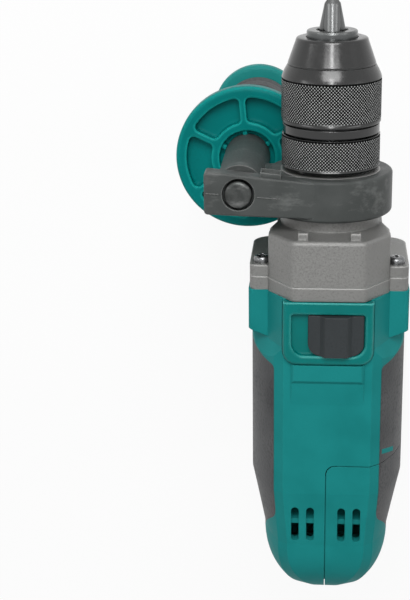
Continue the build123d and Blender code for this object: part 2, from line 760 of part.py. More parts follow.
def case_screws():
    """Sideways place, height above the axis, head seat and tip of the four screws of the gear castings."""
    seat = CASE_Y + EAR_LENGTH
    screws = []
    for side in (-1, 1):
        screws.append((side * EAR_SCREW_X, EAR_SCREW_UP, seat, seat - EAR_SCREW_LENGTH))
        screws.append((side * CHIN_SCREW_X, -CHIN_SCREW_DOWN, FACE_Y, JOINT_Y - CHIN_SCREW_REACH))
    return screws


def case_screw_holes():
    """Holes of the casting screws, from the seats of their heads to their tips."""
    return [rod_y(EAR_SCREW_RADIUS + SEAT_FIT, tip, seat + PAST, x, up) for x, up, seat, tip in case_screws()]


def air_slots():
    """Four round-ended air slots through the top of the tail, each crossed by a sunk rib."""
    high = AXIS_HEIGHT + BODY_TOP_UP + PAST
    low = AXIS_HEIGHT + COMMUTATOR_RADIUS
    middle = SLOT_FRONT - SLOT_LENGTH / 2
    rib_front = SLOT_FRONT - SLOT_RIB_BACK
    slot = SlotOverall(SLOT_LENGTH, SLOT_WIDTH, rotation=90)
    rib_along = (rib_front - SLOT_RIB, rib_front)
    rib_high = (low - PAST, AXIS_HEIGHT + TAIL_TOP_UP - SLOT_RIB_SINK)
    outer = SLOT_INNER + SLOT_PITCH
    cuts = []
    for x in (-outer, -SLOT_INNER, SLOT_INNER, outer):
        rib = block((x - SLOT_WIDTH, x + SLOT_WIDTH), rib_along, rib_high)
        cuts.append(prism_z(slot, low, high, x, middle) - rib)
    return cuts


def bezel_outline(grow=0.0):
    """Bezel in plan: square front, rounded rear corners."""
    half = BEZEL_HALF_WIDTH + grow
    rear = BEZEL_Y - grow
    front = BEZEL_Y + BEZEL_LENGTH + grow
    corner = BEZEL_CORNER + grow
    return outline([(-half, rear), (half, rear), (half, front), (-half, front)], [corner, corner, 0, 0])


def bezel_low():
    """Underside of the bezel, sunk into the top of the barrel."""
    return AXIS_HEIGHT + BODY_TOP_UP - BEZEL_SINK


def pad_step():
    """Raised step behind the bezel, with a steep rear edge that runs out in a long ramp."""
    top = AXIS_HEIGHT + BODY_TOP_UP
    front = BEZEL_Y + PAST
    rear = BEZEL_Y - PAD_STEP_LENGTH
    edge = rear + PAD_STEP_RAMP
    side = outline([
        (front, top - BEVEL_DROP), (front, top + PAD_STEP_HEIGHT), (edge, top + PAD_STEP_HEIGHT),
        (edge - PAD_STEP_DROP, top + PAD_STEP_FOOT), (rear, top), (rear, top - BEVEL_DROP),
    ])
    step = prism_x(side, -PAD_STEP_HALF_WIDTH, PAD_STEP_HALF_WIDTH)
    crown = step.faces().sort_by(Axis.Z)[-1].edges().filter_by(Axis.Y)
    return chamfer(crown, PAD_STEP_EDGE)


def trigger_window():
    """Opening in the front of the grip for the trigger, and the slot above it for the reverse lever."""
    half = TRIGGER_HALF_WIDTH + SLIDE_GAP
    front = TRIGGER_TOP_FRONT
    window = block((-half, half), (TRIGGER_REAR - TRIGGER_TRAVEL - PAST, front),
                   (TRIGGER_LOW - SLIDE_GAP, TRIGGER_HIGH + SLIDE_GAP))
    swing = REVERSE_HALF_WIDTH + REVERSE_REACH * tan(radians(REVERSE_SWING)) + SLIDE_GAP
    low = reverse_low()
    slot = block((-swing, swing), (REVERSE_PIVOT + REVERSE_HUB / 2, front),
                 (low - SLIDE_GAP, low + REVERSE_THICKNESS + SLIDE_GAP))
    return window + slot


def reverse_low():
    """Underside of the reverse lever, on the switch bracket above the trigger."""
    return TRIGGER_HIGH + SLIDE_GAP + SWITCH_BRACKET + SEAT_FIT


def post_places():
    """Station and height of the cover screws."""
    return [TAIL_POST, UPPER_POST, (BASE_POST_Y, BASE_POST_HEIGHT), (-BASE_POST_Y, BASE_POST_HEIGHT)]


def cover_screw_seat(body, y, height):
    """Distance from the middle plane to the body's right side at a screw."""
    line = rod_x(COVER_SCREW_RADIUS, 0, CHEEK_HALF_WIDTH, y, height)
    return (body & line).bounding_box().max.X - COVER_SCREW_SINK


def body_shell():
    """Whole moulded body before it is parted: barrel, grip, cheeks, inner ribs and all openings."""
    outside = barrel() + grip() + pad_step() + chin() + cheek(CHEEK_LENGTH, 1) + cheek(CHEEK_LENGTH, -1)
    hollow = barrel(SKIN, JOINT_Y + PAST) + grip(SKIN, BASE_FLOOR)
    shell = outside - hollow
    core = barrel(WALL) + grip(WALL)
    field_seat = FIELD_RADIUS + SEAT_FIT
    rib_rear = FIELD_Y + RIB_INSET
    rib_front = FIELD_FRONT_Y - RIB_INSET
    ribs = [
        ring_y(BODY_HALF_WIDTH, field_seat, rib_rear, rib_rear + RIB_WIDTH),
        ring_y(BODY_HALF_WIDTH, field_seat, rib_front - RIB_WIDTH, rib_front),
        ring_y(BODY_HALF_WIDTH, MOTOR_REAR_BEARING_RADIUS + SEAT_FIT, MOTOR_REAR_Y - BEARING_LIP,
               MOTOR_REAR_Y + MOTOR_REAR_BEARING_WIDTH),
    ]
    for y, height in post_places():
        ribs.append(rod_x(POST_RADIUS, -CHEEK_HALF_WIDTH, CHEEK_HALF_WIDTH, y, height))
    for rib in ribs:
        shell += core & rib
    shell -= prism_z(bezel_outline(SLIDE_GAP), bezel_low(), AXIS_HEIGHT + 2 * BODY_TOP_UP)
    shell -= trigger_window()
    shell -= rod_x(LOCK_RADIUS + SLIDE_GAP, -2 * BASE_HALF_WIDTH, 0, LOCK_Y, LOCK_HEIGHT)
    shell -= rod_z(GLAND_RADIUS + SEAT_FIT, -PAST, BASE_FLOOR + PAST, 0, 0)
    for cut in air_slots():
        shell -= cut
    for hole in case_screw_holes():
        shell -= hole
    for pad in (*side_pads(), *grip_pads()):
        shell -= pad
    for y, height in post_places():
        seat = cover_screw_seat(outside, y, height)
        end = -COVER_SCREW_REACH - PAST
        shell -= rod_x(COVER_SCREW_RADIUS + SEAT_FIT, end, 2 * CHEEK_HALF_WIDTH, y, height)
        shell -= rod_x(COVER_SCREW_HEAD + HOLE_GAP, seat, 2 * CHEEK_HALF_WIDTH, y, height)
    return shell


def cover_screws():
    """Pan-head screws of the handle cover."""
    outside = barrel() + grip()
    screws = []
    for y, height in post_places():
        seat = cover_screw_seat(outside, y, height)
        head = rod_x(COVER_SCREW_HEAD, seat, seat + COVER_SCREW_HEAD_HEIGHT, y, height)
        screws.append(head + rod_x(COVER_SCREW_RADIUS, -COVER_SCREW_REACH, seat, y, height))
    return Compound(screws)


def mode_bezel():
    """Frame of the mode lever, with a sunk window and a slot for the lever's stem."""
    low = bezel_low()
    top = low + BEZEL_HEIGHT
    frame = prism_z(bezel_outline(), low, top)
    crown = frame.faces().sort_by(Axis.Z)[-1].edges()
    frame = fillet(crown.sort_by(Axis.Y)[:-1], BEZEL_EDGE)
    half = WINDOW_HALF_WIDTH
    rear = BEZEL_Y + WINDOW_BACK
    front = rear + WINDOW_LENGTH
    window = outline(
        [(-half, rear), (half, rear), (half, front), (-half, front)],
        [WINDOW_CORNER, WINDOW_CORNER, WINDOW_FRONT_CORNER, WINDOW_FRONT_CORNER],
    )
    frame -= prism_z(window, low + BEZEL_FLOOR, top + PAST)
    frame = fillet(frame.faces().sort_by(Axis.Z)[-1].inner_wires()[0].edges(), WINDOW_EDGE)
    stem = lever_stem_span()
    gap = SLIDE_GAP
    middle = rear + WINDOW_LENGTH / 2
    frame -= block((stem[0] - LEVER_TRAVEL - gap, stem[1] + gap),
                   (middle - LEVER_STEM_LENGTH / 2 - gap, middle + LEVER_STEM_LENGTH / 2 + gap),
                   (low - PAST, low + BEZEL_FLOOR + PAST))
    return frame


def lever_stem_span():
    """Sideways span of the lever's stem at rest, under the middle of the lever."""
    middle = WINDOW_HALF_WIDTH - SLIDE_GAP - LEVER_WIDTH / 2
    return (middle - LEVER_STEM_WIDTH / 2, middle + LEVER_STEM_WIDTH / 2)


def mode_lever():
    """Sliding knob with a raised finger ridge, at the right end of its window."""
    floor = bezel_low() + BEZEL_FLOOR + SEAT_FIT
    right = WINDOW_HALF_WIDTH - SLIDE_GAP
    left = right - LEVER_WIDTH
    ridge_left = left + LEVER_RIDGE_FROM_LEFT
    ridge_right = ridge_left + LEVER_RIDGE_WIDTH
    rear = BEZEL_Y + WINDOW_BACK + SLIDE_GAP
    front = rear + WINDOW_LENGTH - 2 * SLIDE_GAP
    low = floor - AXIS_HEIGHT
    side = low + LEVER_HEIGHT
    foot = side + LEVER_FOOT_HEIGHT
    crest = low + LEVER_RIDGE_HEIGHT
    face = outline([
        (left, low), (right, low), (right, side),
        (ridge_right + LEVER_FOOT_SPREAD, foot), (ridge_right - LEVER_RIDGE_DRAFT, crest),
        (ridge_left + LEVER_RIDGE_DRAFT, crest), (ridge_left - LEVER_FOOT_SPREAD, foot),
        (left, side),
    ], [0, 0, LEVER_EDGE, LEVER_FOOT_ROUND, LEVER_RIDGE_ROUND, LEVER_RIDGE_ROUND, LEVER_FOOT_ROUND, LEVER_EDGE])
    knob = prism_y(face, rear, front)
    knob &= prism_z(outline(
        [(left, rear), (right, rear), (right, front), (left, front)],
        [WINDOW_CORNER, WINDOW_CORNER, WINDOW_FRONT_CORNER, WINDOW_FRONT_CORNER],
    ), floor, floor + 2 * LEVER_RIDGE_HEIGHT)
    stem = lever_stem_span()
    middle = (rear + front) / 2
    return knob + block(stem, (middle - LEVER_STEM_LENGTH / 2, middle + LEVER_STEM_LENGTH / 2),
                        (bezel_low() + SEAT_FIT, floor + LEVER_HEIGHT / 2))


def case_outline():
    """Outline of the gear castings: flat top, sloped shoulders, and a narrower round-cornered lower half."""
    half = [
        (CASE_TOP_HALF, CASE_TOP_UP), (CASE_SIDE_HALF, CASE_SIDE_UP), (CASE_SIDE_HALF, CASE_WAIST_UP),
        (CASE_LOW_HALF, 0), (CASE_LOW_HALF, -CASE_LOW_DOWN), (CASE_BOTTOM_HALF, -CASE_BOTTOM_DOWN),
    ]
    return outline(half + [(-x, up) for x, up in reversed(half)], [*CASE_CORNERS, *reversed(CASE_CORNERS)])


def casting(rear, front, ear_front):
    """Blank of a gear casting: the case's outline with a screw ear on each side."""
    return prism_y(case_outline(), rear, front) + ear(rear, ear_front, 1) + ear(rear, ear_front, -1)


def cover_plate():
    """Plate between motor and gears, with the seats of the motor's front bearing and the layshaft."""
    plate = casting(JOINT_Y, CASE_Y, CASE_Y)
    boss = MOTOR_BEARING_RADIUS + BEARING_BOSS_WALL
    lay_boss = LAY_BUSH_RADIUS + BEARING_BOSS_WALL
    plate += rod_y(boss, BOSS_Y, JOINT_Y + PAST)
    plate += rod_y(lay_boss, BOSS_Y, JOINT_Y + PAST, up=-LAY_DROP)
    seat = MOTOR_BEARING_RADIUS + SEAT_FIT
    plate -= rod_y(seat, BOSS_Y - PAST, MOTOR_BEARING_Y + MOTOR_BEARING_WIDTH)
    plate -= rod_y(MOTOR_SHAFT_RADIUS + SHAFT_HOLE_GAP, JOINT_Y, CASE_Y + PAST)
    plate -= rod_y(LAY_BUSH_RADIUS + SEAT_FIT, CASE_Y - LAY_BUSH_LENGTH, CASE_Y + PAST, up=-LAY_DROP)
    for hole in case_screw_holes():
        plate -= hole
    return plate


def gear_housing():
    """Cast gear housing: case, screw ears, neck for the side handle, lugs and stepped bores."""
    case = prism_y(case_outline(), CASE_Y, FACE_Y)
    rim = case.faces().sort_by(Axis.Y)[-1].edges()
    case = fillet(rim, CASE_ROUND)
    ear_front = CASE_Y + EAR_LENGTH
    case += ear(CASE_Y, ear_front, 1) + ear(CASE_Y, ear_front, -1)
    case += rod_y(NECK_RADIUS, FACE_Y - PAST, NECK_Y)
    for angle in LUG_ANGLES:
        place = Pos(LUG_UP * sin(radians(angle)), LUG_UP * cos(radians(angle)))
        case += prism_y(place * Rectangle(LUG_WIDTH, LUG_HEIGHT), FACE_Y - PAST, FACE_Y + LUG_LENGTH)
    lay_room = gear_tip(LAY_GEAR_TEETH) + 2 * GEAR_GAP
    spindle_room = gear_tip(SPINDLE_GEAR_TEETH) + 2 * GEAR_GAP
    case -= rod_y(spindle_room, CASE_Y - PAST, FRONT_WALL_Y)
    case -= rod_y(lay_room, CASE_Y - PAST, FRONT_WALL_Y, up=-LAY_DROP)
    case -= rod_y(RATCHET_RADIUS + SLIDE_GAP, CASE_Y, NECK_Y)
    case -= rod_y(REAR_BEARING_RADIUS + SEAT_FIT, REAR_BEARING_Y, NECK_Y + PAST)
    case -= rod_y(FRONT_BEARING_RADIUS + SEAT_FIT, FRONT_BEARING_Y, NECK_Y + PAST)
    bush_end = FRONT_WALL_Y + LAY_BUSH_LENGTH - GEAR_GAP
    case -= rod_y(LAY_BUSH_RADIUS + SEAT_FIT, CASE_Y, bush_end, up=-LAY_DROP)
    for hole in case_screw_holes():
        case -= hole
    for x, up, seat, _ in case_screws():
        case -= rod_y(SCREW_HEAD_RADIUS + HOLE_GAP, seat, FACE_Y + PAST, x, up)
    return case


def gear_housing_screws():
    """Pan-head screws through the ears into the cheeks, and through the case into the chin."""
    reach = 2 * SCREW_RECESS_REACH
    recess = Rectangle(reach, SCREW_RECESS_WIDTH) + Rectangle(SCREW_RECESS_WIDTH, reach)
    screws = []
    for x, up, seat, tip in case_screws():
        top = seat + SCREW_HEAD_HEIGHT
        face = outline([
            (0, tip), (EAR_SCREW_RADIUS, tip), (EAR_SCREW_RADIUS, seat),
            (SCREW_HEAD_RADIUS, seat), (SCREW_HEAD_RADIUS, top), (0, top),
        ], [0, 0, 0, 0, SCREW_HEAD_ROUND, 0])
        screw = turned_y(face) - prism_y(recess, top - SCREW_RECESS_DEPTH, top + PAST)
        screws.append(Pos(x, 0, up) * screw)
    return Compound(screws)


def gear_tip(teeth):
    """Tip radius of a gear."""
    return GEAR_MODULE * (teeth / 2 + TOOTH_ADDENDUM)


def gear_outline(teeth, first):
    """Involute spur gear, with one tooth centred on the given angle from +X in degrees."""
    pitch = GEAR_MODULE * teeth / 2
    base = pitch * cos(radians(PRESSURE_ANGLE))
    root = pitch - GEAR_MODULE * TOOTH_DEDENDUM
    tip = gear_tip(teeth)
    start = max(base, root)

    def spread(radius):
        steep = sqrt(max((radius / base) ** 2 - 1, 0.0))
        return steep - atan(steep)

    half_tooth = (pi * GEAR_MODULE / 2 - BACKLASH) / (2 * pitch) + spread(pitch)

    def at(radius, middle, side):
        angle = middle + side * (half_tooth - spread(radius))
        return (radius * cos(angle), radius * sin(angle))

    edges = []
    for tooth in range(teeth):
        middle = radians(first) + 2 * pi * tooth / teeth
        after = middle + 2 * pi / teeth
        for side in (-1, 1):
            if start > root:
                foot = at(start, middle, side)
                sunk = (foot[0] * root / start, foot[1] * root / start)
                edges.append(Line(sunk, foot))
            edges.append(ThreePointArc(
                at(start, middle, side), at((start + tip) / 2, middle, side), at(tip, middle, side)))
        edges.append(ThreePointArc(
            at(tip, middle, -1), (tip * cos(middle), tip * sin(middle)), at(tip, middle, 1)))
        right = at(start, middle, 1)
        left = at(start, after, -1)
        bottom = [(x * root / start, y * root / start) for x, y in (right, left)]
        between = (middle + after) / 2
        edges.append(ThreePointArc(bottom[0], (root * cos(between), root * sin(between)), bottom[1]))
    return make_face(edges)


def gap_angle(teeth, angle):
    """Angle of a tooth that leaves a gap centred on the given angle."""
    return angle + 180 / teeth


def armature_shaft():
    """Motor shaft with the pinion cut on its front end."""
    rear = MOTOR_REAR_Y - BEARING_LIP
    step = MOTOR_REAR_Y + MOTOR_REAR_BEARING_WIDTH
    shaft = rod_y(MOTOR_TAIL_RADIUS, rear, step)
    shaft += rod_y(MOTOR_SHAFT_RADIUS, step, LAY_GEAR_Y - GEAR_GAP)
    pinion = gear_outline(MOTOR_PINION_TEETH, -90)
    return shaft + prism_y(pinion, LAY_GEAR_Y - GEAR_GAP, LAY_GEAR_Y + LAY_GEAR_WIDTH)


def on_motor_shaft(outer, rear, front):
    """Ring pressed on the motor shaft."""
    return ring_y(outer, MOTOR_SHAFT_RADIUS + SEAT_FIT, rear, front)


def armature_core():
    """Laminated core with winding slots along it."""
    core = on_motor_shaft(CORE_RADIUS, FIELD_Y, FIELD_FRONT_Y)
    for slot in range(CORE_SLOTS):
        turn = Rot(0, 0, 360 / CORE_SLOTS * slot)
        shape = turn * Pos(0, CORE_RADIUS) * Rectangle(CORE_SLOT_WIDTH, 2 * CORE_SLOT_DEPTH)
        core -= prism_y(shape, FIELD_Y - PAST, FIELD_FRONT_Y + PAST)
    return core


def armature_windings():
    """Winding heads at both ends of the core."""
    inner = MOTOR_SHAFT_RADIUS + SEAT_FIT
    heads = []
    for near, far in ((FIELD_FRONT_Y, FIELD_FRONT_Y + WINDING_LENGTH), (FIELD_Y, FIELD_Y - WINDING_LENGTH)):
        face = outline(
            [(inner, near), (WINDING_RADIUS, near), (WINDING_RADIUS, far), (inner, far)],
            [0, 0, WINDING_ROUND, 0],
        )
        heads.append(turned_y(face))
    return Compound(heads)


def commutator():
    """Commutator barrel with its segment grooves."""
    front = COMMUTATOR_Y + COMMUTATOR_LENGTH
    barrel_ring = on_motor_shaft(COMMUTATOR_RADIUS, COMMUTATOR_Y, front)
    for groove in range(COMMUTATOR_BARS):
        turn = Rot(0, 0, 360 / COMMUTATOR_BARS * groove)
        shape = turn * Pos(0, COMMUTATOR_RADIUS) * Rectangle(BAR_GAP, 2 * BAR_GAP_DEPTH)
        barrel_ring -= prism_y(shape, COMMUTATOR_Y - PAST, front - COMMUTATOR_COLLAR)
    return barrel_ring


def cooling_fan():
    """Radial fan: a hub, a disc and straight blades on its rear side."""
    front = FAN_Y + FAN_WIDTH
    fan = on_motor_shaft(FAN_RADIUS, front - FAN_DISC, front) + on_motor_shaft(FAN_HUB, FAN_Y, front)
    root = FAN_HUB - FAN_BLADE_WIDTH
    reach = FAN_RADIUS - root
    for blade in range(FAN_BLADES):
        turn = Rot(0, 0, 360 / FAN_BLADES * blade)
        shape = turn * Pos(0, root + reach / 2) * Rectangle(FAN_BLADE_WIDTH, reach)
        fan += prism_y(shape, FAN_Y, front)
    return fan


def bearing(outer, inner, rear, width):
    """Sealed ball bearing with a shallow groove in each face."""
    middle = (outer + inner) / 2
    half = (outer - inner) * BEARING_SHIELD / 2
    front = rear + width
    ring = ring_y(outer, inner + RUNNING_FIT, rear, front)
    groove = Circle(middle + half) - Circle(middle - half)
    ring -= prism_y(groove, rear - PAST, rear + BEARING_SHIELD_DEPTH)
    return ring - prism_y(groove, front - BEARING_SHIELD_DEPTH, front + PAST)


def field_core():
    """Laminated field ring round the armature."""
    return ring_y(FIELD_RADIUS, CORE_RADIUS + AIR_GAP, FIELD_Y, FIELD_FRONT_Y)


def field_coils():
    """Coil heads at both ends of the field ring."""
    rings = []
    for near, far in ((FIELD_FRONT_Y, FIELD_FRONT_Y + WINDING_LENGTH), (FIELD_Y, FIELD_Y - WINDING_LENGTH)):
        face = outline(
            [(COIL_INNER, near), (COIL_OUTER, near), (COIL_OUTER, far), (COIL_INNER, far)],
            [0, 0, COIL_ROUND, COIL_ROUND],
        )
        rings.append(turned_y(face))
    return Compound(rings)


def brush_box(side, grow, inner, outer):
    """Box along a brush on one side of the commutator."""
    half_width = BRUSH_WIDTH / 2 + grow
    half_height = BRUSH_HEIGHT / 2 + grow
    span = sorted((side * inner, side * outer))
    return block(span, (BRUSH_Y - half_width, BRUSH_Y + half_width),
                 (AXIS_HEIGHT - half_height, AXIS_HEIGHT + half_height))


def carbon_brushes():
    """Pair of brushes, each hollowed to the commutator's curve."""
    inner = COMMUTATOR_RADIUS
    wear = rod_y(inner + RUNNING_FIT, COMMUTATOR_Y, COMMUTATOR_Y + COMMUTATOR_LENGTH)
    return Compound([brush_box(side, 0, inner - PAST, inner + BRUSH_LENGTH) - wear for side in (-1, 1)])


def brush_holders():
    """Pair of brass guides from near the commutator out to the side walls."""
    inner = COMMUTATOR_RADIUS + BRUSH_HOLDER_GAP
    outer = BODY_HALF_WIDTH - SKIN - 2 * SLIDE_GAP
    holders = []
    for side in (-1, 1):
        guide = brush_box(side, BRUSH_HOLDER_WALL, inner, outer)
        holders.append(guide - brush_box(side, SEAT_FIT, inner - PAST, outer - BRUSH_HOLDER_WALL))
    return Compound(holders)


def lay_gear():
    """Large gear of the layshaft, driven by the motor pinion."""
    gear = prism_y(gear_outline(LAY_GEAR_TEETH, gap_angle(LAY_GEAR_TEETH, 90)),
                   LAY_GEAR_Y, LAY_GEAR_Y + LAY_GEAR_WIDTH, up=-LAY_DROP)
    return gear - rod_y(LAY_SHAFT_RADIUS + SEAT_FIT, CASE_Y, FACE_Y, up=-LAY_DROP)


def layshaft():
    """Layshaft with its pinion, which drives the spindle gear."""
    rear = CASE_Y - LAY_BUSH_LENGTH
    front = FRONT_WALL_Y + LAY_BUSH_LENGTH - 2 * GEAR_GAP
    shaft = rod_y(LAY_SHAFT_RADIUS, rear, front, up=-LAY_DROP)
    pinion = gear_outline(LAY_PINION_TEETH, 90)
    start = LAY_GEAR_Y + LAY_GEAR_WIDTH
    return shaft + prism_y(pinion, start, SPINDLE_GEAR_Y + SPINDLE_GEAR_WIDTH, up=-LAY_DROP)


def layshaft_bushes():
    """Plain bushes at both ends of the layshaft."""
    inner = LAY_SHAFT_RADIUS + RUNNING_FIT
    end = FRONT_WALL_Y + LAY_BUSH_LENGTH - GEAR_GAP
    rear = ring_y(LAY_BUSH_RADIUS, inner, CASE_Y - LAY_BUSH_LENGTH, CASE_Y, up=-LAY_DROP)
    front = ring_y(LAY_BUSH_RADIUS, inner, FRONT_WALL_Y, end, up=-LAY_DROP)
    return Compound([rear, front])


def spindle():
    """Stepped spindle: gear seat, bearing seats, shoulder and nose for the chuck."""
    shoulder = CHUCK_Y - SEAT_FIT
    return (
        rod_y(SPINDLE_GEAR_SEAT, SPINDLE_GEAR_Y, RATCHET_Y)
        + rod_y(SPINDLE_RADIUS, RATCHET_Y, shoulder)
        + rod_y(SPINDLE_SHOULDER_RADIUS, NECK_Y - FRONT_BEARING_INSET + HOLE_GAP, shoulder)
        + rod_y(SPINDLE_NOSE_RADIUS, shoulder, CHUCK_Y + SPINDLE_NOSE_LENGTH)
        - rod_y(CHUCK_SCREW_RADIUS + SEAT_FIT, CHUCK_Y, CHUCK_Y + SPINDLE_NOSE_LENGTH + PAST)
    )


def spindle_gear():
    """Large gear on the rear end of the spindle."""
    gear = prism_y(gear_outline(SPINDLE_GEAR_TEETH, gap_angle(SPINDLE_GEAR_TEETH, -90)),
                   SPINDLE_GEAR_Y, RATCHET_Y)
    return gear - rod_y(SPINDLE_GEAR_SEAT + SEAT_FIT, CASE_Y, FACE_Y)


def ratchet(inner, rear, teeth_at):
    """Percussion ratchet: a ring with radial teeth on the face at the given station."""
    ring = ring_y(RATCHET_RADIUS, inner, rear, rear + RATCHET_THICKNESS)
    for tooth in range(RATCHET_TEETH):
        turn = Rot(0, 0, 360 / RATCHET_TEETH * tooth)
        shape = turn * Pos(0, RATCHET_RADIUS) * Rectangle(RATCHET_TOOTH_WIDTH, RATCHET_RADIUS)
        ring -= prism_y(shape, teeth_at - RATCHET_TOOTH_DEPTH, teeth_at + RATCHET_TOOTH_DEPTH)
    return ring


def jaw_axis_plane(back=0.0):
    """Plane square to the upper jaw's slanted axis, a distance back from the tip along that axis."""
    tilt = radians(JAW_TILT)
    rise = JAW_TIP_RADIUS - JAW_RADIUS / cos(tilt)
    origin = (0, TIP_Y - back * cos(tilt), AXIS_HEIGHT + rise + back * sin(tilt))
    return Plane(origin=origin, x_dir=(1, 0, 0), z_dir=(0, -cos(tilt), sin(tilt)))


def jaw_travel():
    """Way of a jaw along its guide, from closed to the widest grip."""
    return (GRIP_LARGEST - GRIP_SMALLEST) / sin(radians(JAW_TILT))


def jaw_turn(index):
    """Turn about the spindle axis from the upper jaw to another one."""
    return Pos(0, 0, AXIS_HEIGHT) * Rot(0, 360 / JAW_COUNT * index, 0) * Pos(0, 0, -AXIS_HEIGHT)


def jaw(index):
    """Slanted round jaw, cut to its third of the circle and hollowed to the smallest bit."""
    lead = JAW_RADIUS
    rod = extrude(jaw_axis_plane(-lead) * Circle(JAW_RADIUS), amount=JAW_LENGTH + lead)
    reach = JAW_LENGTH
    nose = outline([
        (0, TIP_Y), (JAW_BLUNT_RADIUS, TIP_Y), (JAW_BLUNT_RADIUS + reach, TIP_Y - JAW_NOSE_SLOPE * reach),
        (JAW_BLUNT_RADIUS + reach, TIP_Y - 2 * reach), (0, TIP_Y - 2 * reach),
    ])
    half = pi / JAW_COUNT
    apex = JAW_SPLIT / sin(half)
    wedge = outline([
        (0, apex), (2 * reach * sin(half), apex + 2 * reach * cos(half)),
        (-2 * reach * sin(half), apex + 2 * reach * cos(half)),
    ])
    solid = rod & turned_y(nose)
    solid &= prism_y(wedge, TIP_Y - 2 * reach, TIP_Y + PAST)
    solid -= rod_y(GRIP_SMALLEST, TIP_Y - 2 * reach, TIP_Y + PAST)
    return jaw_turn(index) * solid


def chuck_core_radius():
    """Radius of the chuck body under the sleeves."""
    return SLEEVE_RADIUS - SLEEVE_WALL - 2 * HOLE_GAP


def nut_span():
    """Stations of the jaw nut's rear and front faces."""
    return SLEEVE_Y + NUT_BACK, SLEEVE_Y + NUT_BACK + NUT_LENGTH


def chuck_body():
    """Chuck body: nose lip, nut groove, slanted jaw guides, bit bore and spindle socket."""
    core = chuck_core_radius()
    rear, front = nut_span()
    slope = NOSE_Y - NOSE_LENGTH + NOSE_SHOULDER
    face = outline([
        (0, CHUCK_Y), (core, CHUCK_Y), (core, rear - HOLE_GAP), (NUT_BORE - HOLE_GAP, rear - HOLE_GAP),
        (NUT_BORE - HOLE_GAP, front + HOLE_GAP), (core, front + HOLE_GAP), (core, slope),
        (LIP_RADIUS, slope + core - LIP_RADIUS), (LIP_RADIUS, LIP_Y), (0, LIP_Y),
    ], [0, 0, 0, 0, 0, 0, 0, 0, LIP_ROUND, 0])
    body = turned_y(face)
    socket = CHUCK_Y + SPINDLE_NOSE_LENGTH
    body -= rod_y(SPINDLE_NOSE_RADIUS + SEAT_FIT, CHUCK_Y - PAST, socket)
    body -= rod_y(CHUCK_SCREW_RADIUS + SEAT_FIT, CHUCK_Y, LIP_Y)
    body -= rod_y(BIT_BORE, socket + CHUCK_WEB, LIP_Y + PAST)
    length = JAW_RADIUS + JAW_LENGTH + jaw_travel() + PAST
    guide = extrude(jaw_axis_plane(-JAW_RADIUS) * Circle(JAW_RADIUS + RUNNING_FIT), amount=length)
    for index in range(JAW_COUNT):
        body -= jaw_turn(index) * guide
    return body


def chuck_screw():
    """Screw inside the chuck that holds it on the spindle."""
    seat = CHUCK_Y + SPINDLE_NOSE_LENGTH + CHUCK_WEB
    top = seat + CHUCK_SCREW_HEAD_HEIGHT
    screw = rod_y(CHUCK_SCREW_HEAD, seat, top)
    screw += rod_y(CHUCK_SCREW_RADIUS, seat - CHUCK_SCREW_LENGTH, seat)
    slot = Rectangle(2 * CHUCK_SCREW_HEAD, CHUCK_SCREW_SLOT)
    return screw - prism_y(slot, top - CHUCK_SCREW_SLOT_DEPTH, top + PAST)


def jaw_nut():
    """Ring nut in the front sleeve that drives the jaws."""
    rear, front = nut_span()
    return ring_y(SLEEVE_RADIUS - SLEEVE_WALL - SEAT_FIT, NUT_BORE, rear, front)


def front_sleeve():
    """Front sleeve of the chuck: bowed nose with a ring groove, straight rear for the knurl."""
    inner = SLEEVE_RADIUS - SLEEVE_WALL
    hole = LIP_RADIUS + HOLE_GAP
    bow_y = NOSE_Y - NOSE_LENGTH
    flare = SLEEVE_RADIUS - NOSE_RADIUS
    chord = sqrt(flare ** 2 + NOSE_LENGTH ** 2)
    middle = (
        (NOSE_RADIUS + SLEEVE_RADIUS) / 2 + NOSE_BULGE * NOSE_LENGTH / chord,
        (NOSE_Y + bow_y) / 2 + NOSE_BULGE * flare / chord,
    )
    slope = bow_y + NOSE_SHOULDER + 2 * HOLE_GAP
    edges = [
        Line((hole, NOSE_Y), (NOSE_RADIUS, NOSE_Y)),
        ThreePointArc((NOSE_RADIUS, NOSE_Y), middle, (SLEEVE_RADIUS, bow_y)),
        Polyline(
            (SLEEVE_RADIUS, bow_y), (SLEEVE_RADIUS, SLEEVE_Y + SLEEVE_EDGE),
            (SLEEVE_RADIUS - SLEEVE_EDGE, SLEEVE_Y),
            (inner, SLEEVE_Y), (inner, slope), (hole, slope + inner - hole), (hole, NOSE_Y),
        ),
    ]
    sleeve = turned_y(make_face(edges))
    rear = NOSE_Y - NOSE_GROOVE - NOSE_GROOVE_WIDTH / 2
    front = rear + NOSE_GROOVE_WIDTH
    bowed = sleeve & prism_y(Circle(2 * SLEEVE_RADIUS), rear, front)
    edge = bowed.bounding_box().max.X
    return sleeve - ring_y(2 * SLEEVE_RADIUS, edge - NOSE_GROOVE_DEPTH, rear, front)


def plain_sleeve(radius, rear, front, edge):
    """Ring of the chuck with softened edges."""
    inner = chuck_core_radius() + SEAT_FIT
    face = outline([(inner, rear), (radius, rear), (radius, front), (inner, front)], [0, edge, RING_EDGE, 0])
    return turned_y(face)


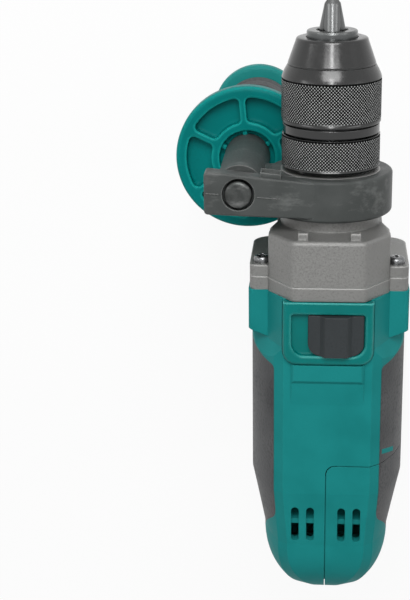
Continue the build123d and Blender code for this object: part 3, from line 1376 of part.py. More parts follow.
def clamp():
    """Split clamp of the side handle: ring, upper arm, slot, and a lower boss on a web."""
    bore = NECK_RADIUS + 2 * RUNNING_FIT
    outer = bore + CLAMP_WALL
    ring = ring_y(outer, bore, CLAMP_Y, NECK_Y)
    rims = ring.edges().filter_by(GeomType.CIRCLE).filter_by(lambda e: e.radius > bore + CLAMP_WALL / 2)
    ring = fillet(rims, CLAMP_EDGE)
    left = HANDLE_X - ARM_BEYOND
    middle = NECK_Y - CLAMP_WIDTH / 2 + ARM_ADVANCE
    rear = middle - ARM_HALF_WIDTH
    front = middle + ARM_HALF_WIDTH
    arm = prism_z(outline(
        [(left, rear), (0, CLAMP_Y + CLAMP_EDGE), (0, NECK_Y - CLAMP_EDGE), (left, front)],
        [ARM_ROUND, 0, 0, ARM_ROUND],
    ), ARM_LOW, ARM_TOP)
    arm = fillet(arm.faces().sort_by(Axis.Z)[-1].edges().sort_by(Axis.X)[:-1], ARM_EDGE)
    boss_top = ARM_LOW - CLAMP_SLOT
    web = block((HANDLE_X, 0), (CLAMP_Y + WEB_INSET, NECK_Y - WEB_INSET),
                (AXIS_HEIGHT - WEB_BOTTOM_DOWN, AXIS_HEIGHT + WEB_TOP_UP))
    boss = rod_z(BOSS_RADIUS, BOSS_LOW, boss_top, HANDLE_X, HANDLE_Y)
    body = ring + arm + web + boss
    body -= rod_y(bore, CLAMP_Y - PAST, front + PAST)
    body -= rod_y(SLEEVE_RADIUS + 2 * HOLE_GAP, CHUCK_Y - HOLE_GAP, front + PAST)
    slot_rear = min(rear, CLAMP_Y) - PAST
    body -= block((left - PAST, -bore / 2), (slot_rear, front + PAST), (boss_top, ARM_LOW))
    body -= rod_z(BOLT_RADIUS + HOLE_GAP, BOSS_LOW - PAST, ARM_TOP, HANDLE_X, HANDLE_Y)
    head = BOLT_HEAD_RADIUS + BOLT_HEAD_GAP
    return body - rod_z(head, ARM_TOP - BOLT_HEAD_SINK, ARM_TOP + PAST, HANDLE_X, HANDLE_Y)


def clamp_bolt():
    """Round-headed bolt through the arm, the boss and into the grip."""
    seat = ARM_TOP - BOLT_HEAD_SINK
    top = ARM_TOP + BOLT_HEAD_CROWN
    end = FLANGE_LOW - BOLT_REACH
    face = outline([
        (0, end), (BOLT_RADIUS, end), (BOLT_RADIUS, seat),
        (BOLT_HEAD_RADIUS, seat), (BOLT_HEAD_RADIUS, top), (0, top),
    ], [0, BOLT_POINT, 0, 0, BOLT_HEAD_ROUND, 0])
    return turned_z(face, HANDLE_X, HANDLE_Y)


def flange_pocket():
    """One pocket between two spokes of the near flange, with rounded corners."""
    sector = Circle(POCKET_OUTER) - Circle(POCKET_INNER)
    half = pi / POCKET_COUNT
    apex = SPOKE_WIDTH / 2 / sin(half)
    far = 2 * POCKET_OUTER
    wedge = outline([
        (apex, 0), (apex + far * cos(half), far * sin(half)), (apex + far * cos(half), -far * sin(half)),
    ])
    pocket = sector & wedge
    return fillet(pocket.vertices(), POCKET_ROUND)


def near_flange():
    """Guard flange next to the clamp: rim, spokes between pockets, hub hole with small tabs."""
    face = outline(
        [(BOLT_RADIUS + HOLE_GAP, FLANGE_LOW), (FLANGE_RADIUS, FLANGE_LOW), (FLANGE_RADIUS, FLANGE_TOP),
         (BOLT_RADIUS + HOLE_GAP, FLANGE_TOP)],
        [0, FLANGE_LOW_ROUND, FLANGE_TOP_ROUND, 0],
    )
    flange = turned_z(face, HANDLE_X, HANDLE_Y)
    flange -= rod_z(FLANGE_HOLE, FLANGE_LOW + FLANGE_FLOOR, FLANGE_TOP + PAST, HANDLE_X, HANDLE_Y)
    step = 360 / POCKET_COUNT
    pocket = flange_pocket()
    tab_inner = BOSS_RADIUS + HOLE_GAP
    tab_length = FLANGE_HOLE + TAB_ROOT - tab_inner
    tab = Pos(tab_inner + tab_length / 2) * Rectangle(tab_length, TAB_WIDTH)
    tab_low = FLANGE_LOW + FLANGE_FLOOR - TAB_ROOT
    for index in range(POCKET_COUNT):
        spoke = FLANGE_TURN + step * index
        cut = Rot(0, 0, spoke + step / 2) * pocket
        flange -= prism_z(cut, FLANGE_TOP - POCKET_DEPTH, FLANGE_TOP + PAST, HANDLE_X, HANDLE_Y)
        flange += prism_z(Rot(0, 0, spoke) * tab, tab_low, FLANGE_TOP - TAB_DROP, HANDLE_X, HANDLE_Y)
    return flange


def handle_core():
    """Core tube of the side handle with its end flange and cap."""
    bore = BOLT_RADIUS + HOLE_GAP
    nut_top = FLANGE_LOW - CLAMP_NUT_DEPTH
    bolt_room = FLANGE_LOW - BOLT_REACH - BOLT_END_ROOM
    face = outline([
        (0, 0), (END_CAP_RADIUS, 0), (END_CAP_RADIUS, END_FLANGE_LOW), (END_FLANGE_RADIUS, END_FLANGE_LOW),
        (END_FLANGE_RADIUS, END_FLANGE_TOP), (CORE_TUBE_RADIUS, END_FLANGE_TOP), (CORE_TUBE_RADIUS, FLANGE_LOW),
        (bore, FLANGE_LOW), (bore, bolt_room), (0, bolt_room),
    ], [0, END_CAP_ROUND, 0, END_FLANGE_ROUND, END_FLANGE_ROUND, 0, 0, 0, 0, 0])
    core = turned_z(face, HANDLE_X, HANDLE_Y)
    return core - rod_z(CLAMP_NUT_RADIUS + SEAT_FIT, nut_top - CLAMP_NUT_LENGTH, nut_top, HANDLE_X, HANDLE_Y)


def clamp_nut():
    """Threaded insert moulded into the handle core."""
    top = FLANGE_LOW - CLAMP_NUT_DEPTH
    ring = Circle(CLAMP_NUT_RADIUS) - Circle(BOLT_RADIUS + RUNNING_FIT)
    return prism_z(ring, top - CLAMP_NUT_LENGTH, top, HANDLE_X, HANDLE_Y)


def grip_sleeve():
    """Soft sleeve of the side handle: a waist below the near flange, swelling towards the end flange."""
    inner = CORE_TUBE_RADIUS + SEAT_FIT
    low = END_FLANGE_TOP
    top = FLANGE_LOW
    middle = (GRIP_MIDDLE, (low + top) / 2)
    bulge = (GRIP_BULGE, low + GRIP_BULGE_UP)
    foot = (GRIP_FOOT, low)
    bow = ((GRIP_BULGE + GRIP_FOOT) / 2 + GRIP_FOOT_BOW, low + GRIP_BULGE_UP / 2)
    edges = [
        Line((inner, top), (GRIP_WAIST, top)),
        Spline([(GRIP_WAIST, top), middle, bulge], tangents=[(0, -1), (0, -1)]),
        ThreePointArc(bulge, bow, foot),
        Line(foot, (inner, low)),
        Line((inner, low), (inner, top)),
    ]
    return turned_z(make_face(edges), HANDLE_X, HANDLE_Y)


def trigger():
    """Trigger with a hollowed finger face and a stem into the switch."""
    half = TRIGGER_HALF_WIDTH
    middle = (TRIGGER_LOW + TRIGGER_HIGH) / 2
    face = make_face([
        Polyline((TRIGGER_LOW_FRONT, TRIGGER_LOW), (TRIGGER_REAR, TRIGGER_LOW), (TRIGGER_REAR, TRIGGER_HIGH),
                 (TRIGGER_TOP_FRONT, TRIGGER_HIGH)),
        ThreePointArc((TRIGGER_TOP_FRONT, TRIGGER_HIGH), (TRIGGER_MIDDLE_FRONT, middle),
                      (TRIGGER_LOW_FRONT, TRIGGER_LOW)),
    ])
    body = prism_x(face, -half, half)
    front = body.faces().sort_by(Axis.Y)[-1].edges().filter_by(lambda e: abs(e.center().X) > half / 2)
    body = fillet(front, TRIGGER_EDGE)
    stem = Plane(origin=(0, TRIGGER_REAR + PAST, switch_stem_height()), x_dir=(1, 0, 0), z_dir=(0, -1, 0))
    return body + extrude(stem * Circle(TRIGGER_STEM_RADIUS), amount=TRIGGER_STEM_LENGTH + PAST)


def switch_stem_height():
    """Height of the trigger's stem and of its hole in the switch."""
    return (TRIGGER_LOW + TRIGGER_HIGH) / 2


def switch_rear():
    """Rear face of the switch, against the upper screw post."""
    return UPPER_POST[0] + POST_RADIUS + HOLE_GAP


def switch():
    """Switch block with a hole for the trigger's stem and a bracket with the reverse lever's pin."""
    rear = switch_rear()
    front = rear + SWITCH_LENGTH
    shelf = TRIGGER_HIGH + SLIDE_GAP
    body = block((-SWITCH_HALF_WIDTH, SWITCH_HALF_WIDTH), (rear, front), (SWITCH_LOW, shelf + SWITCH_BRACKET))
    body += block((-REVERSE_HUB, REVERSE_HUB), (rear, REVERSE_PIVOT + REVERSE_HUB),
                  (shelf, shelf + SWITCH_BRACKET))
    body += rod_z(REVERSE_PIN, shelf, reverse_low() + REVERSE_THICKNESS, 0, REVERSE_PIVOT)
    hole = Plane(origin=(0, front + PAST, switch_stem_height()), x_dir=(1, 0, 0), z_dir=(0, -1, 0))
    depth = TRIGGER_TRAVEL + TRIGGER_STEM_LENGTH - (TRIGGER_REAR - front) + SLIDE_GAP
    return body - extrude(hole * Circle(TRIGGER_STEM_RADIUS + SLIDE_GAP), amount=depth + PAST)


def reverse_lever():
    """Forward and reverse lever above the trigger."""
    low = reverse_low()
    plan = Pos(0, REVERSE_PIVOT) * Circle(REVERSE_HUB)
    plan += Pos(0, REVERSE_PIVOT + REVERSE_REACH / 2) * Rectangle(2 * REVERSE_HALF_WIDTH, REVERSE_REACH)
    lever = prism_z(plan, low, low + REVERSE_THICKNESS)
    lever = fillet(lever.edges().filter_by(Axis.Z).sort_by(Axis.Y)[-2:], REVERSE_TIP_ROUND)
    hole = rod_z(REVERSE_PIN + RUNNING_FIT, low - PAST, low + REVERSE_THICKNESS + PAST, 0, REVERSE_PIVOT)
    return lever - hole


def lock_button():
    """Lock-on button in the left side of the grip, with a flange inside the wall."""
    way = rod_x(LOCK_FLANGE, -2 * BASE_HALF_WIDTH, 0, LOCK_Y, LOCK_HEIGHT)
    inside = (way - grip(SKIN, BASE_FLOOR)).bounding_box().max.X + SLIDE_GAP
    face = (grip() & way).bounding_box().min.X - LOCK_TRAVEL - LOCK_PRESSED_PROUD
    flange = inside + LOCK_FLANGE_THICKNESS
    button = rod_x(LOCK_RADIUS, face, flange, LOCK_Y, LOCK_HEIGHT)
    button = fillet(button.faces().sort_by(Axis.X)[0].edges(), LOCK_EDGE)
    return button + rod_x(LOCK_FLANGE, inside, flange, LOCK_Y, LOCK_HEIGHT)


def cord_gland():
    """Bush in the base where the mains lead would enter."""
    collar_top = BASE_FLOOR + GLAND_COLLAR_HEIGHT
    face = outline([
        (GLAND_BORE, GLAND_SINK), (GLAND_RADIUS, GLAND_SINK), (GLAND_RADIUS, BASE_FLOOR),
        (GLAND_COLLAR, BASE_FLOOR), (GLAND_COLLAR, collar_top), (GLAND_RADIUS, collar_top),
        (GLAND_RADIUS, GLAND_LENGTH), (GLAND_BORE, GLAND_LENGTH),
    ])
    return turned_z(face, 0, 0)


def pieces():
    """Every node of the drill, by name."""
    shell = body_shell()
    left_pad, right_front_pad, right_rear_pad = side_pads()
    grip_left, grip_right = grip_pads()
    nodes = {
        "motor_housing": shell - cover_region(SEAM_GAP) + (shell & seam_tongue()),
        "handle_cover": (shell & cover_region()) - seam_tongue(SEAM_GAP),
        "cover_screws": cover_screws(),
        "side_pad_left": left_pad,
        "side_pad_right_front": right_front_pad,
        "side_pad_right_rear": right_rear_pad,
        "grip_pad_left": grip_left,
        "grip_pad_right": grip_right,
        "mode_bezel": mode_bezel(),
        "mode_lever": mode_lever(),
        "gear_case_plate": cover_plate(),
        "gear_housing": gear_housing(),
        "gear_housing_screws": gear_housing_screws(),
        "armature_shaft": armature_shaft(),
        "armature_core": armature_core(),
        "armature_windings": armature_windings(),
        "commutator": commutator(),
        "cooling_fan": cooling_fan(),
        "motor_front_bearing": bearing(
            MOTOR_BEARING_RADIUS, MOTOR_SHAFT_RADIUS, MOTOR_BEARING_Y, MOTOR_BEARING_WIDTH),
        "motor_rear_bearing": bearing(
            MOTOR_REAR_BEARING_RADIUS, MOTOR_TAIL_RADIUS, MOTOR_REAR_Y, MOTOR_REAR_BEARING_WIDTH),
        "field_core": field_core(),
        "field_coils": field_coils(),
        "carbon_brushes": carbon_brushes(),
        "brush_holders": brush_holders(),
        "lay_gear": lay_gear(),
        "layshaft": layshaft(),
        "layshaft_bushes": layshaft_bushes(),
        "spindle": spindle(),
        "spindle_gear": spindle_gear(),
        "spindle_front_bearing": bearing(
            FRONT_BEARING_RADIUS, SPINDLE_RADIUS, FRONT_BEARING_Y, FRONT_BEARING_WIDTH),
        "spindle_rear_bearing": bearing(
            REAR_BEARING_RADIUS, SPINDLE_RADIUS, REAR_BEARING_Y, REAR_BEARING_WIDTH),
        "turning_ratchet": ratchet(SPINDLE_RADIUS + SEAT_FIT, RATCHET_Y, RATCHET_Y + RATCHET_THICKNESS),
        "fixed_ratchet": ratchet(SPINDLE_RADIUS + SLIDE_GAP, FIXED_RATCHET_Y, FIXED_RATCHET_Y),
        "chuck_body": chuck_body(),
        "chuck_screw": chuck_screw(),
        "jaw_nut": jaw_nut(),
        "front_sleeve": front_sleeve(),
        "chuck_band": plain_sleeve(BAND_RADIUS, BAND_Y, BAND_Y + BAND_LENGTH, RING_EDGE),
        "rear_sleeve": plain_sleeve(
            REAR_SLEEVE_RADIUS, CHUCK_Y, CHUCK_Y + REAR_SLEEVE_LENGTH, REAR_SLEEVE_EDGE),
        "handle_clamp": clamp(),
        "clamp_bolt": clamp_bolt(),
        "clamp_nut": clamp_nut(),
        "near_flange": near_flange(),
        "handle_core": handle_core(),
        "grip_sleeve": grip_sleeve(),
        "trigger": trigger(),
        "switch": switch(),
        "reverse_lever": reverse_lever(),
        "lock_button": lock_button(),
        "cord_gland": cord_gland(),
    }
    for index in range(JAW_COUNT):
        nodes[f"jaw_{index + 1}"] = jaw(index)
    return nodes


def main():
    """Write one file for each node."""
    os.makedirs("parts", exist_ok=True)
    for name, shape in pieces().items():
        export_step(shape, f"parts/{name}.step")


if __name__ == "__main__":
    main()
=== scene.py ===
"""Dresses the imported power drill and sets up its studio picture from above.

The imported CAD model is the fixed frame. Every CAD node gets a procedural finish, and the pieces with fine
relief, such as the knurled chuck sleeves and the rubber pads, are modelled here and ride on its bodies.
"""

import json
import logging
from dataclasses import dataclass, field
from enum import Enum
from math import atan, cos, degrees, pi, radians, sin

import bpy
from mathutils import Matrix, Vector


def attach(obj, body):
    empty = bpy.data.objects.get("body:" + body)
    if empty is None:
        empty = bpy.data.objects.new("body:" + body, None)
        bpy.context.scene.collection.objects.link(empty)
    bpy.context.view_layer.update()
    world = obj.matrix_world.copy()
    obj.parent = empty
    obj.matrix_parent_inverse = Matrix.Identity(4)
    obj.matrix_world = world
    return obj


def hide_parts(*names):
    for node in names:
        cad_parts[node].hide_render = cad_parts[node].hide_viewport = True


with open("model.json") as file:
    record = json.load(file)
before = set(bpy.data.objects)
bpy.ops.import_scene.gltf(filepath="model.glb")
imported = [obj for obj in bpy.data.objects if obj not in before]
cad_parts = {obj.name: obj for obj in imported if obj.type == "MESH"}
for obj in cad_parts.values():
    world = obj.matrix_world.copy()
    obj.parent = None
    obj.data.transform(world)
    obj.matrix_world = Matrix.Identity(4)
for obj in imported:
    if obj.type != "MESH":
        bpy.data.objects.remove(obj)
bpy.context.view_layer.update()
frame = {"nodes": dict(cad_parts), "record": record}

log = logging.getLogger("power_drill")

MM = 0.001

# The spindle's height and the place of the side handle's axis, in millimetres.
SPINDLE_HEIGHT = 168.0
HANDLE_X = -38.5
HANDLE_Y = 157.7

# Doubles closer than this many millimetres are merged.
MERGE_MM = 0.001
# Degrees between faces past which an edge is rounded, and past which it stays sharp in the shading.
ROUNDED_ANGLE = 50.0
SHARP_ANGLE = 35.0
# Steps of a rounded edge.
ROUND_STEPS = 3

WHITE = (1.0, 1.0, 1.0, 1.0)

Point = tuple[float, float, float]
Span = tuple[float, float]
Profile = list[Span]


def linear(colour: str) -> Point:
    """Turns an sRGB hex value into linear red, green and blue.

    Args:
        colour: Six hex digits.

    Returns:
        The three linear values.
    """
    shares = [int(colour[start:start + 2], 16) / 255 for start in (0, 2, 4)]
    return tuple(s / 12.92 if s <= 0.04045 else ((s + 0.055) / 1.055) ** 2.4 for s in shares)


def per_metre(size_mm: float) -> float:
    """Returns the texture scale that gives a pattern this size in millimetres."""
    return 1 / (size_mm * MM)


def add_node(
    tree: bpy.types.NodeTree,
    kind: str,
    settings: dict | None = None,
    links: dict | None = None,
) -> bpy.types.Node:
    """Adds a node with its settings and links.

    Args:
        tree: The tree that gets the node.
        kind: The node's type name.
        settings: Values by socket name, socket number or attribute name.
        links: Output sockets by the name or number of the input that each feeds.

    Returns:
        The new node.
    """
    node = tree.nodes.new(kind)
    for name, value in (settings or {}).items():
        if isinstance(name, int) or name in node.inputs:
            node.inputs[name].default_value = value
        else:
            setattr(node, name, value)
    for name, socket in (links or {}).items():
        tree.links.new(socket, node.inputs[name])
    return node


@dataclass(frozen=True)
class Pattern:
    """A texture node that draws one kind of relief.

    Attributes:
        kind: The texture node's type name.
        output: The socket that gives the height.
        stretch: How much finer the pattern is along X, Y and Z.
        settings: The node's other settings.
    """

    kind: str
    output: str
    stretch: Point = (1.0, 1.0, 1.0)
    settings: tuple[tuple[str, object], ...] = ()


class Relief(Enum):
    """How a surface was made, which gives its fine relief."""

    SPARKED = Pattern("ShaderNodeTexNoise", "Fac", settings=(("Detail", 3.0), ("Roughness", 0.6)))
    POLISHED = Pattern("ShaderNodeTexNoise", "Fac", settings=(("Detail", 1.0),))
    LEATHERED = Pattern("ShaderNodeTexVoronoi", "Distance", settings=(("feature", "SMOOTH_F1"),))
    BLASTED = Pattern("ShaderNodeTexNoise", "Fac", settings=(("Detail", 6.0), ("Roughness", 0.75)))
    TURNED_Y = Pattern("ShaderNodeTexNoise", "Fac", (0.04, 1.0, 0.04), (("Detail", 3.0),))
    STACKED = Pattern("ShaderNodeTexWave", "Fac", settings=(("bands_direction", "Y"), ("Distortion", 0.4)))
    WOUND = Pattern("ShaderNodeTexWave", "Fac",
                    settings=(("bands_direction", "DIAGONAL"), ("Distortion", 1.2)))


# Where a drift, a hollow of the grain, a rounded corner, a free corner and a scuff start and are full, and
# the part of the grain that moves the roughness.
DRIFT_SPAN = {"From Min": 0.4, "From Max": 0.75}
HOLLOW_SPAN = {"From Min": 0.55, "From Max": 0.25}
CORNER_SPAN = {"From Min": 0.985, "From Max": 0.9}
FREE_SPAN = {"From Min": 0.7, "From Max": 0.95}
SCUFF_SPAN = {"From Min": 0.52, "From Max": 0.74}
ROUGH_SPAN = {"From Min": 0.3, "From Max": 0.7}

# How broken up the drifts and scuffs are, and how far a scuff is drawn out across the drill.
DRIFT_BREAKUP = {"Detail": 4.0}
SCUFF_BREAKUP = {"Detail": 9.0, "Roughness": 0.72}
SCUFF_STRETCH = (0.4, 1.0, 1.0)

# Rays that feel for an edge and for free space beside it, and how many edge radii the second ones reach.
EDGE_RAYS = 4
FREE_RAYS = 8
FREE_REACH = 3

# Sockets of a Mix node for colours, which share their names with those for other values.
MIX_SHARE, MIX_FIRST, MIX_SECOND, MIX_RESULT = 0, 6, 7, 2


@dataclass(frozen=True)
class Finish:
    """One real material and how its surface was made.

    Attributes:
        name: The material's name, after the real one and its surface.
        base: Colour of the plain surface.
        shade: Colour of its drifts and of the hollows in its grain.
        edge: Colour of edges abraded by handling, which on several finishes also stands for a painted
            highlight along the edges.
        relief: How the surface was made.
        grain_mm: Size of the relief.
        depth_mm: Depth of the relief.
        rough: Mean roughness.
        rough_spread: How far the relief moves the roughness either way.
        metallic: One for bare metal, less under a dull skin.
        gloss: Specular level; matt mouldings return less than the usual half.
        edge_mm: Radius of the softened edges.
        drift_mm: Size of the colour drifts.
        grain_share: How far the hollows of the grain take the shade colour.
        abrasion_and_highlight: How far edges abraded by handling, and edges with a painted highlight, take
            the edge colour.
        scuff_mm: Size of the pale scuffs, or zero where there are none.
        scuff: How far the scuffs take the edge colour.
    """

    name: str
    base: str
    shade: str
    edge: str
    relief: Relief
    grain_mm: float
    depth_mm: float
    rough: float
    rough_spread: float = 0.06
    metallic: float = 0.0
    gloss: float = 0.5
    edge_mm: float = 0.5
    drift_mm: float = 22.0
    grain_share: float = 0.5
    abrasion_and_highlight: float = 0.5
    scuff_mm: float = 0.0
    scuff: float = 0.5

    def material(self) -> bpy.types.Material:
        """Returns the finish as a material, building its nodes the first time.

        Returns:
            The material that every piece of this finish shares.
        """
        made = bpy.data.materials.get(self.name)
        if made is None:
            made = bpy.data.materials.new(self.name)
            made.use_nodes = True
            made.node_tree.nodes.clear()
            self._draw(made.node_tree)
        return made

    def _draw(self, tree: bpy.types.NodeTree) -> None:
        """Draws colour, roughness and relief into the material's node tree.

        Args:
            tree: The empty node tree.
        """
        pattern = self.relief.value
        place = add_node(tree, "ShaderNodeTexCoord").outputs["Object"]
        stretched = add_node(tree, "ShaderNodeMapping", {"Scale": pattern.stretch}, {"Vector": place})
        grain = add_node(tree, pattern.kind, {"Scale": per_metre(self.grain_mm), **dict(pattern.settings)},
                         {"Vector": stretched.outputs["Vector"]}).outputs[pattern.output]
        soft = add_node(tree, "ShaderNodeBevel",
                        {"samples": EDGE_RAYS, "Radius": self.edge_mm * MM}).outputs["Normal"]
        tone = self._tone(tree, place, grain)
        abraded_and_highlit = self._abraded_and_highlit(tree, place, soft)
        # The edge colour on outer corners is partly abrasion and partly a painted highlight.
        edge = (*linear(self.edge), 1.0)
        colour = add_node(tree, "ShaderNodeMix", {"data_type": "RGBA", MIX_SECOND: edge},
                          {MIX_SHARE: abraded_and_highlit, MIX_FIRST: tone})
        rough = add_node(tree, "ShaderNodeMapRange",
                         {**ROUGH_SPAN, "To Min": self.rough - self.rough_spread,
                          "To Max": self.rough + self.rough_spread}, {"Value": grain})
        normal = add_node(tree, "ShaderNodeBump", {"Strength": 1.0, "Distance": self.depth_mm * MM},
                          {"Height": grain, "Normal": soft})
        shader = add_node(tree, "ShaderNodeBsdfPrincipled",
                          {"Metallic": self.metallic, "Specular IOR Level": self.gloss},
                          {"Base Color": colour.outputs[MIX_RESULT], "Roughness": rough.outputs["Result"],
                           "Normal": normal.outputs["Normal"]})
        add_node(tree, "ShaderNodeOutputMaterial", links={"Surface": shader.outputs["BSDF"]})

    def _tone(
        self,
        tree: bpy.types.NodeTree,
        place: bpy.types.NodeSocket,
        grain: bpy.types.NodeSocket,
    ) -> bpy.types.NodeSocket:
        """Adds the colour of the plain surface, with its shade in the drifts and the hollows of the grain.

        Args:
            tree: The tree that gets the nodes.
            place: The coordinates.
            grain: The height of the relief.

        Returns:
            The socket that gives the colour.
        """
        drift = add_node(tree, "ShaderNodeTexNoise", {"Scale": per_metre(self.drift_mm), **DRIFT_BREAKUP},
                         {"Vector": place})
        patches = add_node(tree, "ShaderNodeMapRange", DRIFT_SPAN, {"Value": drift.outputs["Fac"]})
        hollows = add_node(tree, "ShaderNodeMapRange", {**HOLLOW_SPAN, "To Max": self.grain_share},
                           {"Value": grain})
        dark = add_node(tree, "ShaderNodeMath", {"operation": "MAXIMUM"},
                        {0: patches.outputs["Result"], 1: hollows.outputs["Result"]})
        base, shade = ((*linear(colour), 1.0) for colour in (self.base, self.shade))
        tone = add_node(tree, "ShaderNodeMix", {"data_type": "RGBA", MIX_FIRST: base, MIX_SECOND: shade},
                        {MIX_SHARE: dark.outputs["Value"]})
        return tone.outputs[MIX_RESULT]

    def _abraded_and_highlit(
        self,
        tree: bpy.types.NodeTree,
        place: bpy.types.NodeSocket,
        soft: bpy.types.NodeSocket,
    ) -> bpy.types.NodeSocket:
        """Adds the abrasion and the painted highlight of outer corners, which inner corners are spared, and
        the scuffs.

        Args:
            tree: The tree that gets the nodes.
            place: The coordinates.
            soft: The normal with softened edges.

        Returns:
            The socket that gives the share of the edge colour.
        """
        # Pale outer corners: abrasion on some finishes, a painted highlight on others.
        plain = add_node(tree, "ShaderNodeNewGeometry").outputs["Normal"]
        turn = add_node(tree, "ShaderNodeVectorMath", {"operation": "DOT_PRODUCT"}, {0: soft, 1: plain})
        corners = add_node(tree, "ShaderNodeMapRange", {**CORNER_SPAN, "To Max": self.abrasion_and_highlight},
                           {"Value": turn.outputs["Value"]})
        free = add_node(tree, "ShaderNodeAmbientOcclusion",
                        {"samples": FREE_RAYS, "only_local": True,
                         "Distance": FREE_REACH * self.edge_mm * MM})
        outer = add_node(tree, "ShaderNodeMapRange", FREE_SPAN, {"Value": free.outputs["AO"]})
        corners_abraded_and_highlit = add_node(tree, "ShaderNodeMath", {"operation": "MULTIPLY"},
                        {0: corners.outputs["Result"], 1: outer.outputs["Result"]})
        if not self.scuff_mm:
            return corners_abraded_and_highlit.outputs["Value"]
        drawn = add_node(tree, "ShaderNodeMapping", {"Scale": SCUFF_STRETCH}, {"Vector": place})
        smears = add_node(tree, "ShaderNodeTexNoise", {"Scale": per_metre(self.scuff_mm), **SCUFF_BREAKUP},
                          {"Vector": drawn.outputs["Vector"]})
        pale = add_node(tree, "ShaderNodeMapRange", {**SCUFF_SPAN, "To Max": self.scuff},
                        {"Value": smears.outputs["Fac"]})
        return add_node(tree, "ShaderNodeMath", {"operation": "MAXIMUM"},
                        {0: corners_abraded_and_highlit.outputs["Value"], 1: pale.outputs["Result"]}).outputs["Value"]


# Spark-eroded and blasted grain, turning marks and pores are finer than a pixel of the picture, so the
# finishes draw them several times coarser than they are.

# Teal glass-filled nylon from a spark-eroded mould: deep and even, with a dull bloom and slightly pale edges,
# partly abraded by handling and partly a painted highlight.
TEAL_NYLON = Finish("glass_filled_nylon_spark_eroded_teal", "1b8483", "157978", "2f9593", Relief.SPARKED,
                    0.6, 0.02, 0.55, gloss=0.07, abrasion_and_highlight=0.4)
# Teal ABS from a polished mould: smoother than the body, with a darkened base and its ribs and rims painted
# bright, a painted highlight that leaves the pockets looking shaded.
TEAL_ABS = Finish("abs_satin_moulded_teal", "007775", "006c6a", "22b8b0", Relief.POLISHED,
                  1.2, 0.01, 0.36, gloss=0.07, edge_mm=2.2, abrasion_and_highlight=0.9)
# The same ABS on the end flange, which the drill stands on: dulled by scuffs, and painted paler all over as
# painted light, a lit copy of the flange plastic.
SCUFFED_PAINTED_LIT_ABS = Finish("abs_satin_moulded_teal_scuffed_painted_lit", "1f8783", "187a76", "52b5af", Relief.POLISHED,
                     1.2, 0.01, 0.5, gloss=0.12, edge_mm=1.6, abrasion_and_highlight=0.8, scuff_mm=8.0, scuff=0.15)
# Glossier teal ABS of the bezel, whose rounded rim catches the lamps; its pale edge colour paints a highlight
# along the rim.
BEZEL_ABS = Finish("abs_gloss_moulded_teal", "00736f", "006a66", "58c8c2", Relief.POLISHED,
                   1.2, 0.01, 0.24, 0.03, gloss=0.14, edge_mm=1.3, abrasion_and_highlight=0.9)
# Thermoplastic rubber moulded over the body: dark, dry and leathered.
BODY_RUBBER = Finish("thermoplastic_rubber_leather_moulded", "525354", "2c2d2f", "5c5d5f", Relief.LEATHERED,
                     1.1, 0.13, 0.55, 0.1, gloss=0.22, drift_mm=30.0, grain_share=0.8)
# Plain black rubber of the cord gland, smoother and blacker than the pads.
GLAND_RUBBER = Finish("rubber_plain_moulded_black", "262728", "1e1f20", "404142", Relief.SPARKED,
                      0.7, 0.02, 0.6, gloss=0.25)
# Dark glass-filled nylon of the clamp: dark grey, with paler smears where handling has scuffed it, and a pale
# edge colour that paints highlights along its edges.
DARK_NYLON = Finish("glass_filled_nylon_moulded_dark_grey", "434645", "4f5251", "9a9c9a", Relief.SPARKED,
                    0.7, 0.04, 0.4, gloss=0.14, edge_mm=0.7, drift_mm=16.0, grain_share=0.15, abrasion_and_highlight=0.7,
                    scuff_mm=9.0, scuff=0.36)
# Black acetal for controls that slide: smooth, low in gloss and slightly blue.
CONTROL_ACETAL = Finish("acetal_smooth_moulded_black", "35393b", "2d3032", "54585a", Relief.POLISHED,
                        1.0, 0.01, 0.42, gloss=0.16)
# Black nylon chuck sleeves: glossy black that mirrors the lamps in soft streaks.
SLEEVE_NYLON = Finish("nylon_gloss_moulded_black", "0e0f0f", "0b0c0c", "6a6c6b", Relief.POLISHED,
                      1.5, 0.006, 0.2, 0.04, gloss=0.66, abrasion_and_highlight=0.3, edge_mm=0.3)
# Points of the knurl: pale grey, partly the black abraded by handling and partly a painted highlight, which
# gives the sleeves their bright dots.
KNURL_POINTS_PAINTED_BRIGHT = Finish("nylon_rubbed_knurl_points_painted_bright", "aaacab", "969897", "c0c2c1", Relief.POLISHED,
                      0.8, 0.01, 0.3, gloss=0.5, edge_mm=0.05, abrasion_and_highlight=0.1)
# Grooves of the knurl: matt black from old oil and dust.
KNURL_GROOVES = Finish("nylon_knurled_oiled_black", "0e0f0f", "0a0b0b", "1c1d1d", Relief.SPARKED,
                       0.4, 0.01, 0.6, gloss=0.05, edge_mm=0.05, abrasion_and_highlight=0.1)
# Die-cast aluminium, shot blasted: mid grey with a fine grain, and brighter along the edges, where the pale
# edge colour is a painted highlight.
CAST_ALLOY = Finish("aluminium_die_cast_blasted", "838381", "60605e", "c8c8c5", Relief.BLASTED,
                    0.9, 0.13, 0.4, 0.14, 0.3, 0.35, edge_mm=1.2, drift_mm=60.0, grain_share=1.0, abrasion_and_highlight=0.65)
# Turned steel: grey with fine rings about the spindle.
TURNED_STEEL = Finish("steel_turned", "8d8e90", "77787a", "b5b6b8", Relief.TURNED_Y,
                      0.3, 0.004, 0.3, 0.08, 1.0)
# Plated screws: pale, bright and slightly uneven.
PLATED_STEEL = Finish("steel_zinc_plated", "7d7e7f", "626364", "c4c5c6", Relief.POLISHED,
                      0.8, 0.01, 0.28, 0.08, 1.0, edge_mm=0.25)
# Ground jaw steel: mid grey, smooth and even.
GROUND_STEEL = Finish("tool_steel_ground", "6b6c6c", "626363", "a2a3a3", Relief.POLISHED,
                      6.0, 0.001, 0.3, 0.03, 1.0, edge_mm=0.02, grain_share=0.0, abrasion_and_highlight=0.0)
